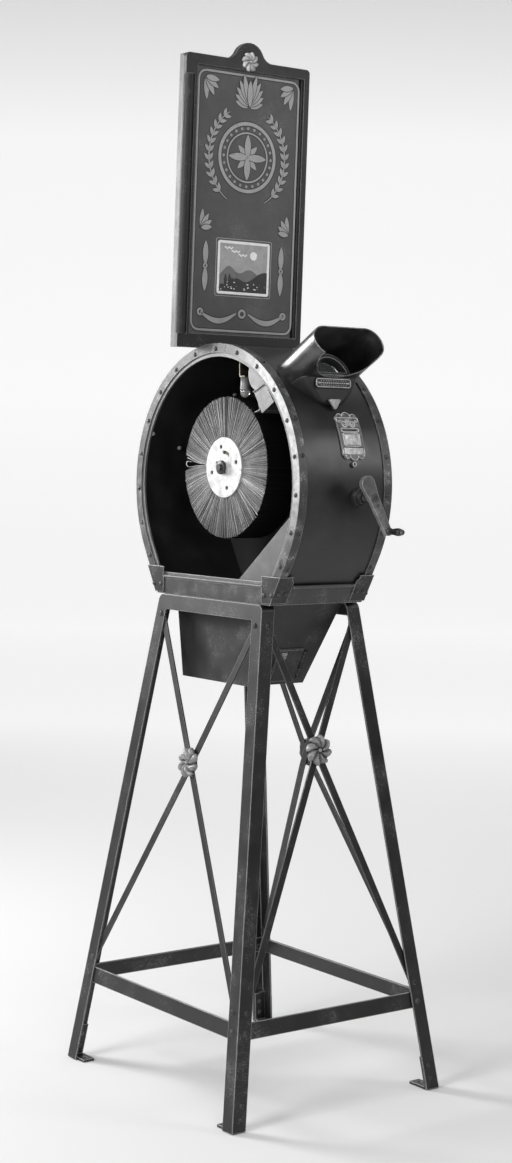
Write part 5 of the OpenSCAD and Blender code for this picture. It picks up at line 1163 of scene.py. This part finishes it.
def plate(outline, low, high, place):
    """A thin plate with the outline of a simple polygon."""
    n = len(outline)
    points = [place(u, v, low) for u, v in outline] + [place(u, v, high) for u, v in outline]
    faces = [tuple(range(n)), tuple(n + k for k in range(n))]
    faces += [(k, (k + 1) % n, n + (k + 1) % n, n + k) for k in range(n)]
    return points, faces


def hill(base, peaks):
    """Outline of a row of hills across the little print, up from its lower edge."""
    left, right = PRINT_MID[0] - PRINT_W / 2 + 4, PRINT_MID[0] + PRINT_W / 2 - 4
    foot = PRINT_MID[1] - PRINT_H / 2 + 4
    path = [(left, foot)]
    for t in np.linspace(1, 0, 28):
        rise = base + sum(h * math.exp(-((t - at) / wide) ** 2) for at, h, wide in peaks)
        path.insert(1, (left + (right - left) * t, foot + rise))
    return path + [(right, foot)]


# The little print, from its paper up: a pale sky, far and near hills, a sun, clouds, blossom and trees
frame_line = round_box(PRINT_W - 5, PRINT_H - 5, 1.6, middle=PRINT_MID, steps=3)
sky_line = round_box(PRINT_W - 6, PRINT_H - 6, 1, middle=PRINT_MID, steps=2)
printed = {"white": [ribbon(frame_line, 5.0, 0.2, 0.5, on_sign, closed=True)],
           "light": [plate(sky_line, 0.05, 0.2, on_sign)],
           "mid": [plate(hill(26, [(0.2, 22, 0.16), (0.62, 17, 0.2)]), 0.26, 0.32, on_sign)],
           "dark": [plate(hill(14, [(0.95, 26, 0.3), (0.36, 12, 0.14)]), 0.34, 0.4, on_sign)] + dark,
           "pale": pale}
sun = [(PRINT_MID[0] + 22 + 8 * math.cos(t), PRINT_MID[1] + 24 + 8 * math.sin(t))
       for t in np.linspace(0, 6.2, 28)]
printed["white"].append(plate(sun, 0.22, 0.3, on_sign))
for k in range(3):
    cloud = [(PRINT_MID[0] - 44 + 16 * k + 12 * t, PRINT_MID[1] + 36 - 6 * k + 1.6 * math.sin(9 * t))
             for t in np.linspace(0, 1.6, 14)]
    printed["white"].append(ribbon(cloud, 2.4, 0.22, 0.3, on_sign))
for k in range(34):
    u, v = rng.uniform(-50, 50), rng.uniform(-41, -26)
    blossom = round_box(2.6 + 1.6 * (k % 2), 1.8, 0.8, middle=(PRINT_MID[0] + u, PRINT_MID[1] + v), steps=2)
    printed["white" if k % 3 else "mid"].append(plate(blossom, 0.42, 0.47, on_sign))
for k, u in enumerate((-40, -31, -25, 34, 41)):
    root = (PRINT_MID[0] + u, PRINT_MID[1] - 36 + 3 * (k % 2))
    path, widths = leaf(root, 90, 24 - 3 * (k % 3), 7)
    printed["dark"].append(ribbon(path, widths, 0.44, 0.5, on_sign))
# One thin pale line round the print, without a dark edge
outer_line = round_box(PRINT_W + 7, PRINT_H + 7, 3, middle=PRINT_MID)
printed["pale"].append(ribbon(outer_line, 1.4, 0.16, 0.42, on_sign, closed=True))
for name, ink in (("sign_print_white", "white"), ("sign_print_grey", "light"), ("sign_print_mid", "mid"),
                  ("sign_print_dark", "dark"), ("sign_print_pale", "pale")):
    shape = solid(name, printed[ink], inks[ink], smooth=False)
    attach(shape, "base")

# The panel is a loose sheet in a groove of the frame. Along the right stile a thin dark strip lies on it: a
# painted shadow of the gap between the panel and the stile.
groove = [(SIGN_RIGHT - 5.5, SIGN_LOW + 0.4), (SIGN_RIGHT - 5.5, SIGN_HIGH - 0.4)]
sign_groove_shadow = solid("sign_groove_shadow", [ribbon(groove, 5.6, -0.1, 0.3, on_sign)], inside_black)
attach(sign_groove_shadow, "base")
